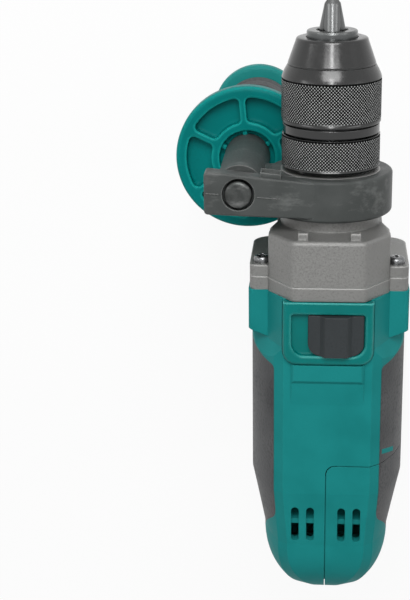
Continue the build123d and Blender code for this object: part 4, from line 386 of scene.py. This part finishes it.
# Blackened steel: dark grey and mottled, brighter along the edges, where the pale edge colour is partly
# abrasion and partly a painted highlight.
BLACK_STEEL = Finish("steel_blackened", "4b4d4c", "323433", "b4b5b4", Relief.BLASTED,
                     0.8, 0.05, 0.36, 0.08, 1.0, edge_mm=0.8, drift_mm=4.0, abrasion_and_highlight=0.95,
                     scuff_mm=4.0, scuff=0.3)
# Blackened and turned steel of the chuck's body: grey with fine rings, and a rounded lip made bright by a
# painted highlight in its edge colour.
CHUCK_STEEL = Finish("steel_turned_blackened", "626464", "545656", "b4b5b4", Relief.TURNED_Y,
                     0.4, 0.004, 0.24, 0.05, 1.0, edge_mm=1.2)
# Stamped electrical sheet, stacked: grey-blue with a line at every sheet.
SHEET_STACK = Finish("electrical_steel_stamped_stacked", "6d7075", "4a4c50", "85888c", Relief.STACKED,
                     1.0, 0.05, 0.45, metallic=1.0)
# Enamelled copper, wound and varnished: warm, with every turn of wire showing.
WOUND_COPPER = Finish("copper_wire_enamelled_wound", "a85a32", "6f3419", "c8794c", Relief.WOUND,
                      1.2, 0.2, 0.35, metallic=1.0)
# Brass pressings: yellow and slightly dull.
PRESSED_BRASS = Finish("brass_pressed", "b08d4a", "947339", "d3b573", Relief.POLISHED,
                       1.5, 0.01, 0.35, metallic=1.0)
# Pressed carbon brushes: matt black with fine pores.
PRESSED_CARBON = Finish("carbon_pressed", "2b2b2c", "1d1d1e", "3c3c3d", Relief.BLASTED,
                        0.5, 0.02, 0.7, gloss=0.3)

SLOT_FINISHES: dict[str, Finish] = {
    "teal_plastic": TEAL_NYLON,
    "flange_plastic": TEAL_ABS,
    "soft_rubber": BODY_RUBBER,
    "gland_rubber": GLAND_RUBBER,
    "dark_plastic": DARK_NYLON,
    "sleeve_plastic": SLEEVE_NYLON,
    "cast_alloy": CAST_ALLOY,
    "machined_steel": TURNED_STEEL,
    "lamination_steel": SHEET_STACK,
    "copper": WOUND_COPPER,
    "brass": PRESSED_BRASS,
    "carbon": PRESSED_CARBON,
}

NODE_FINISHES: dict[str, Finish] = {
    "mode_bezel": BEZEL_ABS,
    "handle_core": SCUFFED_PAINTED_LIT_ABS,
    "mode_lever": CONTROL_ACETAL,
    "trigger": CONTROL_ACETAL,
    "reverse_lever": CONTROL_ACETAL,
    "lock_button": CONTROL_ACETAL,
    "clamp_bolt": BLACK_STEEL,
    "chuck_body": CHUCK_STEEL,
    "gear_housing_screws": PLATED_STEEL,
    "cover_screws": BLACK_STEEL,
    "jaw_1": GROUND_STEEL,
    "jaw_2": GROUND_STEEL,
    "jaw_3": GROUND_STEEL,
}


class Axis(Enum):
    """Direction that a turned piece's stations run along."""

    SPINDLE = Vector((0.0, 1.0, 0.0))
    HANDLE = Vector((0.0, 0.0, 1.0))


class Pick(Enum):
    """Kind of mesh element that a selection is made of."""

    EDGES = (False, True, False)
    FACES = (False, False, True)


def paint(obj: bpy.types.Object, finish: Finish) -> None:
    """Gives an object one finish all over.

    Args:
        obj: The piece or CAD node.
        finish: The finish that it gets.
    """
    obj.data.materials.clear()
    obj.data.materials.append(finish.material())


def pick(obj: bpy.types.Object, kind: Pick, chosen: list[int]) -> None:
    """Enters edit mode with just these edges or faces selected.

    Args:
        obj: The active mesh, in object mode.
        kind: Edges or faces.
        chosen: Their numbers.
    """
    bpy.context.tool_settings.mesh_select_mode = kind.value
    bpy.ops.object.mode_set(mode="EDIT")
    bpy.ops.mesh.select_all(action="DESELECT")
    bpy.ops.object.mode_set(mode="OBJECT")
    parts = obj.data.edges if kind is Pick.EDGES else obj.data.polygons
    for number in chosen:
        parts[number].select = True
    bpy.ops.object.mode_set(mode="EDIT")


def close_shell() -> None:
    """Merges the active mesh's doubles in edit mode and turns its faces outwards."""
    bpy.ops.mesh.select_all(action="SELECT")
    bpy.ops.mesh.remove_doubles(threshold=MERGE_MM * MM)
    bpy.ops.mesh.normals_make_consistent(inside=False)
    bpy.ops.object.mode_set(mode="OBJECT")


def turned_shell(name: str, sides: int, profile: Profile, centre: Point, axis: Axis) -> bpy.types.Object:
    """Draws a circle out ring by ring into a closed turned shell.

    Args:
        name: The piece's name.
        sides: Corners of each ring.
        profile: Radius and station of each ring in millimetres; the last ring closes on the first.
        centre: A point on the axis, in millimetres, at station zero.
        axis: Direction of the stations.

    Returns:
        The shell, in object mode, with its place in its mesh.
    """
    along = axis.value
    middle = Vector(centre) * MM
    radius, station = profile[0]
    bpy.ops.object.select_all(action="DESELECT")
    bpy.ops.mesh.primitive_circle_add(
        vertices=sides, radius=radius * MM, location=middle + along * station * MM,
        rotation=(pi / 2, 0, 0) if axis is Axis.SPINDLE else (0, 0, 0),
    )
    shell = bpy.context.active_object
    shell.name = name
    bpy.ops.object.transform_apply(location=True, rotation=True, scale=True)
    bpy.context.tool_settings.mesh_select_mode = Pick.EDGES.value
    bpy.ops.object.mode_set(mode="EDIT")
    bpy.ops.mesh.select_all(action="SELECT")
    for (radius, station), (next_radius, next_station) in zip(profile, profile[1:] + profile[:1]):
        bpy.ops.mesh.extrude_region_move(
            TRANSFORM_OT_translate={"value": along * (next_station - station) * MM})
        grow = next_radius / radius
        bpy.ops.transform.resize(value=[1.0 if share else grow for share in along],
                                 center_override=middle + along * next_station * MM)
    close_shell()
    return shell


def knurl(
    obj: bpy.types.Object,
    rear: float,
    front: float,
    inside: float,
    height: float,
    slope: float,
) -> tuple[list[int], list[int]]:
    """Raises a diamond knurl on a band of square faces about the spindle.

    Poking each square and dissolving its old sides turns the squares into diamonds, which are inset and
    raised into flat-topped points.

    Args:
        obj: The turned shell.
        rear: Rear end of the band in millimetres.
        front: Front end of the band.
        inside: Radius that every face of the band lies beyond.
        height: Height of the points.
        slope: Width of the slope around each point.

    Returns:
        Numbers of the flat tops, and of the slopes between them.
    """
    mesh = obj.data

    def in_band(place: Vector) -> bool:
        """Tells whether a point of the shell lies on the knurled band."""
        out = Vector((place.x, place.z - SPINDLE_HEIGHT * MM)).length
        return rear * MM < place.y < front * MM and out > inside * MM

    corners = len(mesh.vertices)
    pick(obj, Pick.FACES, [face.index for face in mesh.polygons if in_band(face.center)])
    bpy.ops.mesh.poke(offset=0.0)
    bpy.ops.object.mode_set(mode="OBJECT")
    spots = [vertex.co for vertex in mesh.vertices]
    pick(obj, Pick.EDGES, [
        edge.index for edge in mesh.edges
        if max(edge.vertices) < corners and in_band((spots[edge.vertices[0]] + spots[edge.vertices[1]]) / 2)])
    bpy.ops.mesh.dissolve_edges(use_verts=False)
    bpy.ops.object.mode_set(mode="OBJECT")
    pick(obj, Pick.FACES, [face.index for face in mesh.polygons
                           if max(face.vertices) >= corners and len(face.vertices) == 4])
    bpy.ops.mesh.inset(thickness=slope * MM, depth=height * MM, use_individual=True)
    bpy.ops.object.mode_set(mode="OBJECT")
    tops = [face.index for face in mesh.polygons if face.select]
    slopes = [face.index for face in mesh.polygons if in_band(face.center) and not face.select]
    return tops, slopes


def bar(name: str, low: Point, high: Point, round_mm: float, turn: float = 0.0) -> bpy.types.Object:
    """Makes a small moulded bar with rounded edges.

    Args:
        name: The piece's name.
        low: Lowest corner in millimetres.
        high: Highest corner in millimetres.
        round_mm: Radius of its edges.
        turn: Degrees that it is turned about the vertical through its middle.

    Returns:
        The bar, in object mode.
    """
    middle = (Vector(low) + Vector(high)) / 2 * MM
    bpy.ops.object.select_all(action="DESELECT")
    bpy.ops.mesh.primitive_cube_add(size=1.0, location=middle, rotation=(0, 0, radians(turn)),
                                    scale=(Vector(high) - Vector(low)) * MM)
    made = bpy.context.active_object
    made.name = name
    bpy.ops.object.transform_apply(location=True, rotation=True, scale=True)
    bpy.ops.object.mode_set(mode="EDIT")
    bpy.ops.mesh.select_all(action="SELECT")
    bpy.ops.mesh.bevel(offset=round_mm * MM, segments=ROUND_STEPS, affect="EDGES")
    bpy.ops.object.mode_set(mode="OBJECT")
    return made


def rounded_copy(node: str, name: str, round_mm: float) -> bpy.types.Object:
    """Copies a CAD node's mesh and rounds its sharp edges.

    Args:
        node: The CAD node.
        name: The piece's name.
        round_mm: Radius of the rounded edges.

    Returns:
        The rounded piece, in object mode.
    """
    made = bpy.data.objects.new(name, frame["nodes"][node].data.copy())
    bpy.context.scene.collection.objects.link(made)
    bpy.ops.object.select_all(action="DESELECT")
    made.select_set(True)
    bpy.context.view_layer.objects.active = made
    bpy.ops.object.mode_set(mode="EDIT")
    close_shell()
    bpy.ops.mesh.customdata_custom_splitnormals_clear()
    bevel = made.modifiers.new("rounding", "BEVEL")
    bevel.width = round_mm * MM
    bevel.segments = ROUND_STEPS
    bevel.limit_method = "ANGLE"
    bevel.angle_limit = radians(ROUNDED_ANGLE)
    bpy.ops.object.modifier_apply(modifier=bevel.name)
    return made


def settle(
    obj: bpy.types.Object,
    body: str,
    finish: Finish,
    replaced: tuple[str, ...] = (),
) -> None:
    """Finishes a new piece: smooth shading, finish, body and the nodes that it stands for.

    Args:
        obj: The piece, active and in object mode.
        body: The body that it rides on.
        finish: The finish that it gets.
        replaced: CAD nodes that it stands for.
    """
    bpy.ops.object.shade_smooth_by_angle(angle=radians(SHARP_ANGLE))
    paint(obj, finish)
    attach(obj, body)
    if replaced:
        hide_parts(*replaced)
    log.info("%s: %d faces on %s", obj.name, len(obj.data.polygons), body)


def paint_faces(obj: bpy.types.Object, finish: Finish, chosen: list[int]) -> None:
    """Gives some faces of a piece a finish of their own.

    Args:
        obj: The piece, in object mode.
        finish: The finish of the chosen faces.
        chosen: Their numbers.
    """
    obj.data.materials.append(finish.material())
    for number in chosen:
        obj.data.polygons[number].material_index = len(obj.data.materials) - 1


@dataclass
class Dressing:
    """Finishes of the CAD nodes that the picture shows as they are."""

    by_slot: dict[str, Finish] = field(default_factory=lambda: dict(SLOT_FINISHES))
    by_node: dict[str, Finish] = field(default_factory=lambda: dict(NODE_FINISHES))

    def dress(self) -> None:
        """Gives every CAD node the finish of its slot, or its own."""
        for part in frame["record"]["subparts"]:
            finish = self.by_node.get(part["node"], self.by_slot[part["material_slot"]])
            paint(frame["nodes"][part["node"]], finish)
            log.info("%s: %s", part["node"], finish.name)


@dataclass
class Chuck:
    """Knurled sleeves of the keyless chuck, in millimetres.

    Attributes:
        teeth: Points of the knurl around a sleeve.
        knurl_depth: Depth of the knurl.
        knurl_slope: Width of the slope around each point.
        front_radius: Radius of the front sleeve's knurled end.
        front_rear: Station of the front sleeve's rear face.
        nose_station: Station of its front face.
        nose_radius: Radius of the cone at its rounded front edge.
        cone_radius: Radius of the cone at the ring groove.
        groove_step: How much wider the sleeve is behind the groove.
        nose_hole: Radius of the hole for the jaws' lip.
        nose_round: Rounding of the nose's front edge.
        sleeve_edge: Chamfer of the front sleeve's rear edge.
        groove_back: Distance of the ring groove from the front face.
        groove_width: Width of the ring groove.
        groove_depth: Depth of the ring groove.
        swell_shares: Where the swelling shoulder has rings, as shares of the way from groove to knurl.
        wall: Wall of the sleeves.
        inner_front: Station where the front sleeve's bore starts to close in.
        front_knurl: Rear and front ends of the front knurl.
        rear_radius: Radius of the rear sleeve.
        rear_rear: Station of the rear sleeve's rear face.
        rear_front: Station of its front face.
        rear_bore: Bore of the rear sleeve.
        rear_lip: Inset and length of the chamfer of its front edge.
        rear_edge: Rounding of its rear edge.
        rear_ease: Share of that rounding at its middle ring.
        rear_knurl: Rear and front ends of the rear knurl.
    """

    teeth: int = 95
    knurl_depth: float = 0.4
    knurl_slope: float = 0.24
    front_radius: float = 21.3
    front_rear: float = 184.4
    nose_station: float = 220.1
    nose_radius: float = 15.4
    cone_radius: float = 18.7
    groove_step: float = 0.2
    nose_hole: float = 11.1
    nose_round: float = 1.2
    sleeve_edge: float = 0.35
    groove_back: float = 11.0
    groove_width: float = 0.8
    groove_depth: float = 0.5
    swell_shares: tuple[float, ...] = (0.0, 0.2, 0.4, 0.6, 0.8)
    wall: float = 2.8
    inner_front: float = 206.7
    front_knurl: Span = (185.9, 203.0)
    rear_radius: float = 21.1
    rear_rear: float = 164.5
    rear_front: float = 179.5
    rear_bore: float = 17.94
    rear_lip: Span = (0.4, 0.2)
    rear_edge: float = 1.2
    rear_ease: float = 0.3
    rear_knurl: Span = (166.2, 178.9)

    def rows(self, radius: float, band: Span) -> Profile:
        """Gives the rings of a knurled band, stepped in at both ends, from its front to its rear.

        Args:
            radius: Radius over the points.
            band: Rear and front ends of the band.

        Returns:
            Radius and station of each ring.
        """
        root = radius - self.knurl_depth
        rear, front = band
        count = round((front - rear) * self.teeth / (2 * pi * root))
        rings = [(root, front + (rear - front) * row / count) for row in range(count + 1)]
        return [(radius, front + self.knurl_depth), *rings, (radius, rear - self.knurl_depth)]

    def front_sleeve(self) -> None:
        """Models the front sleeve: conical nose, ring groove, swelling shoulder, knurl, and bore."""
        front = self.nose_station
        bore = self.front_radius - self.wall
        groove = front - self.groove_back + self.groove_width / 2
        groove_rear = groove - self.groove_width
        smooth_end = self.front_knurl[1] + self.knurl_depth
        start = front - self.nose_round
        rounded = [
            (self.nose_radius - self.nose_round * (1 - cos(turn)), start + self.nose_round * sin(turn))
            for turn in (pi / 2, pi / 3, pi / 6)
        ]
        root = self.cone_radius - self.groove_depth
        behind = self.cone_radius + self.groove_step
        swell = [
            (behind + (self.front_radius - behind) * (sin(share * pi / 2) + share) / 2,
             groove_rear + (smooth_end - groove_rear) * share)
            for share in self.swell_shares
        ]
        profile = [
            (self.nose_hole, front), *rounded, (self.nose_radius, start), (self.cone_radius, groove),
            (root, groove), (root, groove_rear), *swell,
            *self.rows(self.front_radius, self.front_knurl),
            (self.front_radius, self.front_rear + self.sleeve_edge),
            (self.front_radius - self.sleeve_edge, self.front_rear),
            (bore, self.front_rear), (bore, self.inner_front),
            (self.nose_hole, self.inner_front + bore - self.nose_hole),
        ]
        sleeve = turned_shell("knurled_front_sleeve", self.teeth, profile, (0, 0, SPINDLE_HEIGHT),
                              Axis.SPINDLE)
        self.finish(sleeve, self.front_knurl, self.front_radius, "chuck_sleeve", "front_sleeve")

    def rear_sleeve(self) -> None:
        """Models the rear sleeve: knurl between two smooth edges."""
        edge = self.rear_edge
        eased = edge * self.rear_ease
        lip_inset, lip_length = self.rear_lip
        profile = [
            (self.rear_bore, self.rear_front),
            (self.rear_radius - lip_inset, self.rear_front),
            (self.rear_radius, self.rear_front - lip_length),
            *self.rows(self.rear_radius, self.rear_knurl),
            (self.rear_radius - eased, self.rear_rear + eased),
            (self.rear_radius - edge, self.rear_rear),
            (self.rear_bore, self.rear_rear),
        ]
        sleeve = turned_shell("knurled_rear_sleeve", self.teeth, profile, (0, 0, SPINDLE_HEIGHT),
                              Axis.SPINDLE)
        self.finish(sleeve, self.rear_knurl, self.rear_radius, "spindle", "rear_sleeve")

    def finish(self, sleeve: bpy.types.Object, band: Span, radius: float, body: str, node: str) -> None:
        """Knurls a sleeve, dresses it and paints the points of its knurl pale, partly as abrasion and partly
        as a painted highlight.

        Args:
            sleeve: The turned shell.
            band: Rear and front ends of the knurl.
            radius: Radius over the points.
            body: The body that it rides on.
            node: The CAD node that it stands for.
        """
        tops, slopes = knurl(sleeve, *band, radius - 2 * self.knurl_depth, self.knurl_depth, self.knurl_slope)
        settle(sleeve, body, SLEEVE_NYLON, (node,))
        # The pale points are partly abrasion and partly a painted highlight, standing in for the lamps'
        # glints on the knurl.
        paint_faces(sleeve, KNURL_POINTS_PAINTED_BRIGHT, tops)
        paint_faces(sleeve, KNURL_GROOVES, slopes)


@dataclass
class RubberPads:
    """Rubber moulded over the body, with rounded rims.

    Attributes:
        rim: Radius of the pads' rims in millimetres.
        nodes: The CAD pads.
    """

    rim: float = 0.9
    nodes: tuple[str, ...] = ("side_pad_left", "side_pad_right_front", "side_pad_right_rear", "grip_pad_left",
                              "grip_pad_right")

    def build(self) -> None:
        """Copies each CAD pad, rounds its rim and dresses it."""
        for node in self.nodes:
            pad = rounded_copy(node, f"rubber_{node}", self.rim)
            settle(pad, "drill", BODY_RUBBER, (node,))


@dataclass
class SideHandle:
    """Moulded marks of the side handle's clamp, and its ringed grip, in millimetres.

    Attributes:
        arm_top: Height of the arm's top face.
        arm_left: Left end of the arm.
        arm_station: Station of the arm's middle line at its left end.
        ring_station: Station of the arm's middle line at the ring's middle.
        arm_front: Station of the arm's front face at its left end.
        ring_front: Station of the arm's front face at the ring's middle.
        bead_spans: Left and right ends of the two lengths of parting bead.
        bead_width: Width of the parting bead along the arm.
        bead_height: Height of the parting bead.
        bead_sink: How far the bead reaches into the arm.
        bead_round: Radius of the bead's edges.
        web_span: Left and right ends of the ribbed web.
        web_heights: Lower and upper edges of the web.
        web_reach: How far the web stands out from the arm's front face.
        web_rib: Width of the web's rims.
        web_sink: Depth of its sunk front.
        web_root: How far the web reaches into the arm.
        web_round: Radius of the web's edges.
        web_facing: Least forward part of the normal of the web's front.
        grip_top: Height of the grip's top.
        grip_low: Height of the grip's foot.
        grip_bore: Bore of the grip.
        grip_sides: Corners of each ring of the grip.
        grip_steps: Rings of the mesh along the grip.
        grip_outline: Radius and share of the height of the grip's outline.
        rings: Number of shallow finger rings in the grip's whole length.
        ring_depth: Depth of the finger rings.
        ring_power: Power that narrows the finger rings.
        ring_span: Shares of the height that the finger rings lie between.
    """

    arm_top: float = 194.0
    arm_left: float = -53.0
    arm_station: float = 158.2
    ring_station: float = 154.5
    arm_front: float = 167.5
    ring_front: float = 162.1
    bead_spans: tuple[Span, ...] = ((-52.2, -46.6), (-30.6, -21.0))
    bead_width: float = 0.5
    bead_height: float = 0.2
    bead_sink: float = 0.1
    bead_round: float = 0.05
    web_span: Span = (-29.5, -20.5)
    web_heights: Span = (184.0, 192.6)
    web_reach: float = 2.0
    web_rib: float = 1.3
    web_sink: float = 1.2
    web_root: float = 1.0
    web_round: float = 0.4
    web_facing: float = 0.9
    grip_top: float = 116.0
    grip_low: float = 13.0
    grip_bore: float = 9.54
    grip_sides: int = 72
    grip_steps: int = 96
    grip_outline: tuple[Span, ...] = (
        (14.5, 1.0), (14.6, 0.85), (15.4, 0.65), (16.6, 0.5), (18.0, 0.3), (18.9, 0.18), (19.3, 0.09),
        (18.7, 0.04), (17.3, 0.0))
    rings: int = 9
    ring_depth: float = 0.5
    ring_power: int = 3
    ring_span: Span = (0.12, 0.93)

    def middle(self, x: float) -> float:
        """Gives the station of the arm's middle line at a sideways place."""
        return self.ring_station + (self.arm_station - self.ring_station) * x / self.arm_left

    def front(self, x: float) -> float:
        """Gives the station of the arm's front face at a sideways place."""
        return self.ring_front + (self.arm_front - self.ring_front) * x / self.arm_left

    def marks(self) -> None:
        """Models the parting bead on both sides of the bolt."""
        half = self.bead_width / 2
        slant = degrees(atan((self.arm_station - self.ring_station) / self.arm_left))
        for number, (left, right) in enumerate(self.bead_spans, start=1):
            along = self.middle((left + right) / 2)
            bead = bar(f"clamp_parting_bead_{number}", (left, along - half, self.arm_top - self.bead_sink),
                       (right, along + half, self.arm_top + self.bead_height), self.bead_round, slant)
            settle(bead, "side_clamp", DARK_NYLON)

    def web(self) -> None:
        """Models the ribbed web on the arm's front face, next to the ring: a bar with a sunk front."""
        left, right = self.web_span
        low, high = self.web_heights
        front = self.front((left + right) / 2)
        slant = degrees(atan((self.arm_front - self.ring_front) / self.arm_left))
        web = bar("clamp_ribbed_web", (left, front - self.web_root, low),
                  (right, front + self.web_reach, high), self.web_round, slant)
        face = max(web.data.polygons, key=lambda side: (side.normal.y > self.web_facing) * side.area)
        pick(web, Pick.FACES, [face.index])
        bpy.ops.mesh.inset(thickness=self.web_rib * MM, depth=-self.web_sink * MM)
        bpy.ops.object.mode_set(mode="OBJECT")
        settle(web, "side_clamp", DARK_NYLON)

    def grip_radius(self, share: float) -> float:
        """Gives the plain grip's radius at a share of its height.

        Args:
            share: Zero at the foot, one at the top.

        Returns:
            The radius in millimetres.
        """
        points = sorted((height, radius) for radius, height in self.grip_outline)
        for (low, start), (high, end) in zip(points, points[1:]):
            if share <= high:
                ease = (share - low) / (high - low)
                return start + (end - start) * ease
        return points[-1][1]

    def grip(self) -> None:
        """Models the soft grip with its shallow finger rings."""
        length = self.grip_top - self.grip_low
        ring_low, ring_high = self.ring_span
        profile = [(self.grip_bore, self.grip_top)]
        for step in range(self.grip_steps + 1):
            share = 1 - step / self.grip_steps
            wave = max(0.0, sin(share * 2 * pi * self.rings)) ** self.ring_power
            dip = self.ring_depth * wave if ring_low < share < ring_high else 0.0
            profile.append((self.grip_radius(share) - dip, self.grip_low + length * share))
        profile.append((self.grip_bore, self.grip_low))
        sleeve = turned_shell("ringed_grip", self.grip_sides, profile, (HANDLE_X, HANDLE_Y, 0), Axis.HANDLE)
        settle(sleeve, "side_grip", BODY_RUBBER, ("grip_sleeve",))


@dataclass(frozen=True)
class Lamp:
    """One rectangular soft box.

    Attributes:
        name: The lamp's name.
        place: Its place in metres.
        aim: The point that it faces.
        size: Its two sides in metres.
        watts: Its power.
    """

    name: str
    place: Point
    aim: Point
    size: Span
    watts: float

    def hang(self) -> None:
        """Hangs the lamp in its place, facing its aim."""
        facing = (Vector(self.aim) - Vector(self.place)).to_track_quat("-Z", "Y").to_euler()
        bpy.ops.object.light_add(type="AREA", location=self.place, rotation=facing)
        lamp = bpy.context.active_object
        lamp.name = self.name
        lamp.data.shape = "RECTANGLE"
        lamp.data.size, lamp.data.size_y = self.size
        lamp.data.energy = self.watts


@dataclass
class Studio:
    """Floor, soft lamps and camera of the picture.

    Attributes:
        lens_mm: Focal length over a sensor as high as sensor_mm.
        sensor_mm: Height of the sensor.
        eye: Place of the camera in metres.
        tilt: Degrees that the camera leans back from straight down.
        roll: Degrees that the camera rolls about its view.
        pan: Degrees that the camera pans left, which frames the drill right of the middle.
        near: Distance in metres within which the camera sees nothing.
        floor_size: Side of the floor in metres.
        floor_drop: How far the floor lies below the drill's base, in millimetres.
        floor_colour: Colour of the floor.
        day_level: Strength of the even light around.
        seen_share: How much of the floor that the camera sees is plain white.
        lamps: The soft boxes.
    """

    lens_mm: float = 89.6
    sensor_mm: float = 36.0
    eye: Point = (0.0, 0.314, 0.802)
    tilt: float = 18.4
    roll: float = 0.8
    pan: float = 4.73
    near: float = 0.01
    floor_size: float = 30.0
    floor_drop: float = 0.2
    floor_colour: str = "f4f4f4"
    day_level: float = 0.3
    seen_share: float = 0.9
    lamps: tuple[Lamp, ...] = (
        Lamp("overhead_strip", (0.0, 0.75, 1.6), (0.0, 0.3, 0.17), (0.16, 0.9), 6.6),
        Lamp("left_box", (-1.15, 0.55, 0.95), (0.0, 0.15, 0.17), (0.18, 0.8), 1.9),
        Lamp("right_box", (1.15, 0.45, 0.95), (0.0, 0.15, 0.17), (0.18, 0.8), 1.4),
        Lamp("front_box", (0.0, 1.2, 1.3), (0.0, 0.14, 0.19), (1.0, 0.7), 14.0),
    )

    def floor(self) -> None:
        """Lays a white floor that keeps the drill's shadow."""
        bpy.ops.object.select_all(action="DESELECT")
        bpy.ops.mesh.primitive_plane_add(size=self.floor_size, location=(0, 0, -self.floor_drop * MM))
        plane = bpy.context.active_object
        plane.name = "studio_floor"
        paper = bpy.data.materials.new("paper_roll_matt_white")
        paper.use_nodes = True
        tree = paper.node_tree
        tree.nodes.clear()
        white = (*linear(self.floor_colour), 1.0)
        lit = add_node(tree, "ShaderNodeBsdfDiffuse", {"Color": white}).outputs["BSDF"]
        glow = add_node(tree, "ShaderNodeEmission", {"Color": WHITE, "Strength": 1.0}).outputs["Emission"]
        seen = self._seen(tree)
        share = add_node(tree, "ShaderNodeMath", {"operation": "MULTIPLY", 1: self.seen_share}, {0: seen})
        mixed = add_node(tree, "ShaderNodeMixShader", links={0: share.outputs["Value"], 1: lit, 2: glow})
        add_node(tree, "ShaderNodeOutputMaterial", links={"Surface": mixed.outputs["Shader"]})
        plane.data.materials.append(paper)

    def _seen(self, tree: bpy.types.NodeTree) -> bpy.types.NodeSocket:
        """Adds the test of rays that see the background, straight, mirrored or through glass.

        Args:
            tree: The tree that gets the nodes.

        Returns:
            A socket that is one for such rays.
        """
        rays = add_node(tree, "ShaderNodeLightPath").outputs
        shiny = add_node(tree, "ShaderNodeMath", {"operation": "MAXIMUM"},
                         {0: rays["Is Glossy Ray"], 1: rays["Is Transmission Ray"]})
        return add_node(tree, "ShaderNodeMath", {"operation": "MAXIMUM"},
                        {0: rays["Is Camera Ray"], 1: shiny.outputs["Value"]}).outputs["Value"]

    def light(self) -> None:
        """Hangs the soft lamps and sets the even light around."""
        world = bpy.data.worlds.new("studio_white")
        bpy.context.scene.world = world
        world.use_nodes = True
        tree = world.node_tree
        tree.nodes.clear()
        day = add_node(tree, "ShaderNodeBackground", {"Color": WHITE, "Strength": self.day_level})
        white = add_node(tree, "ShaderNodeBackground", {"Color": WHITE, "Strength": 1.0})
        mixed = add_node(tree, "ShaderNodeMixShader",
                         links={0: self._seen(tree), 1: day.outputs["Background"],
                                2: white.outputs["Background"]})
        add_node(tree, "ShaderNodeOutputWorld", links={"Surface": mixed.outputs["Shader"]})
        for lamp in self.lamps:
            lamp.hang()

    def camera(self) -> None:
        """Stands the camera above the chuck, looking back and down along the drill."""
        scene = bpy.context.scene
        lean = Matrix.Rotation(-radians(self.tilt), 4, "X") @ Matrix.Rotation(radians(self.roll), 4, "Z")
        facing = lean @ Matrix.Rotation(radians(self.pan), 4, "Y")
        bpy.ops.object.camera_add(location=self.eye, rotation=facing.to_euler())
        scene.camera = bpy.context.active_object
        lens = scene.camera.data
        lens.sensor_fit = "VERTICAL"
        lens.sensor_height = self.sensor_mm
        lens.lens = self.lens_mm
        lens.clip_start = self.near
        scene.view_settings.view_transform = "Standard"


def main() -> None:
    """Dresses the CAD nodes, models the new pieces and sets up the studio."""
    logging.basicConfig(level=logging.INFO, format="%(message)s")
    Dressing().dress()
    chuck = Chuck()
    chuck.front_sleeve()
    chuck.rear_sleeve()
    RubberPads().build()
    handle = SideHandle()
    handle.marks()
    handle.web()
    handle.grip()
    studio = Studio()
    studio.floor()
    studio.light()
    studio.camera()


if __name__ == "__main__":
    main()
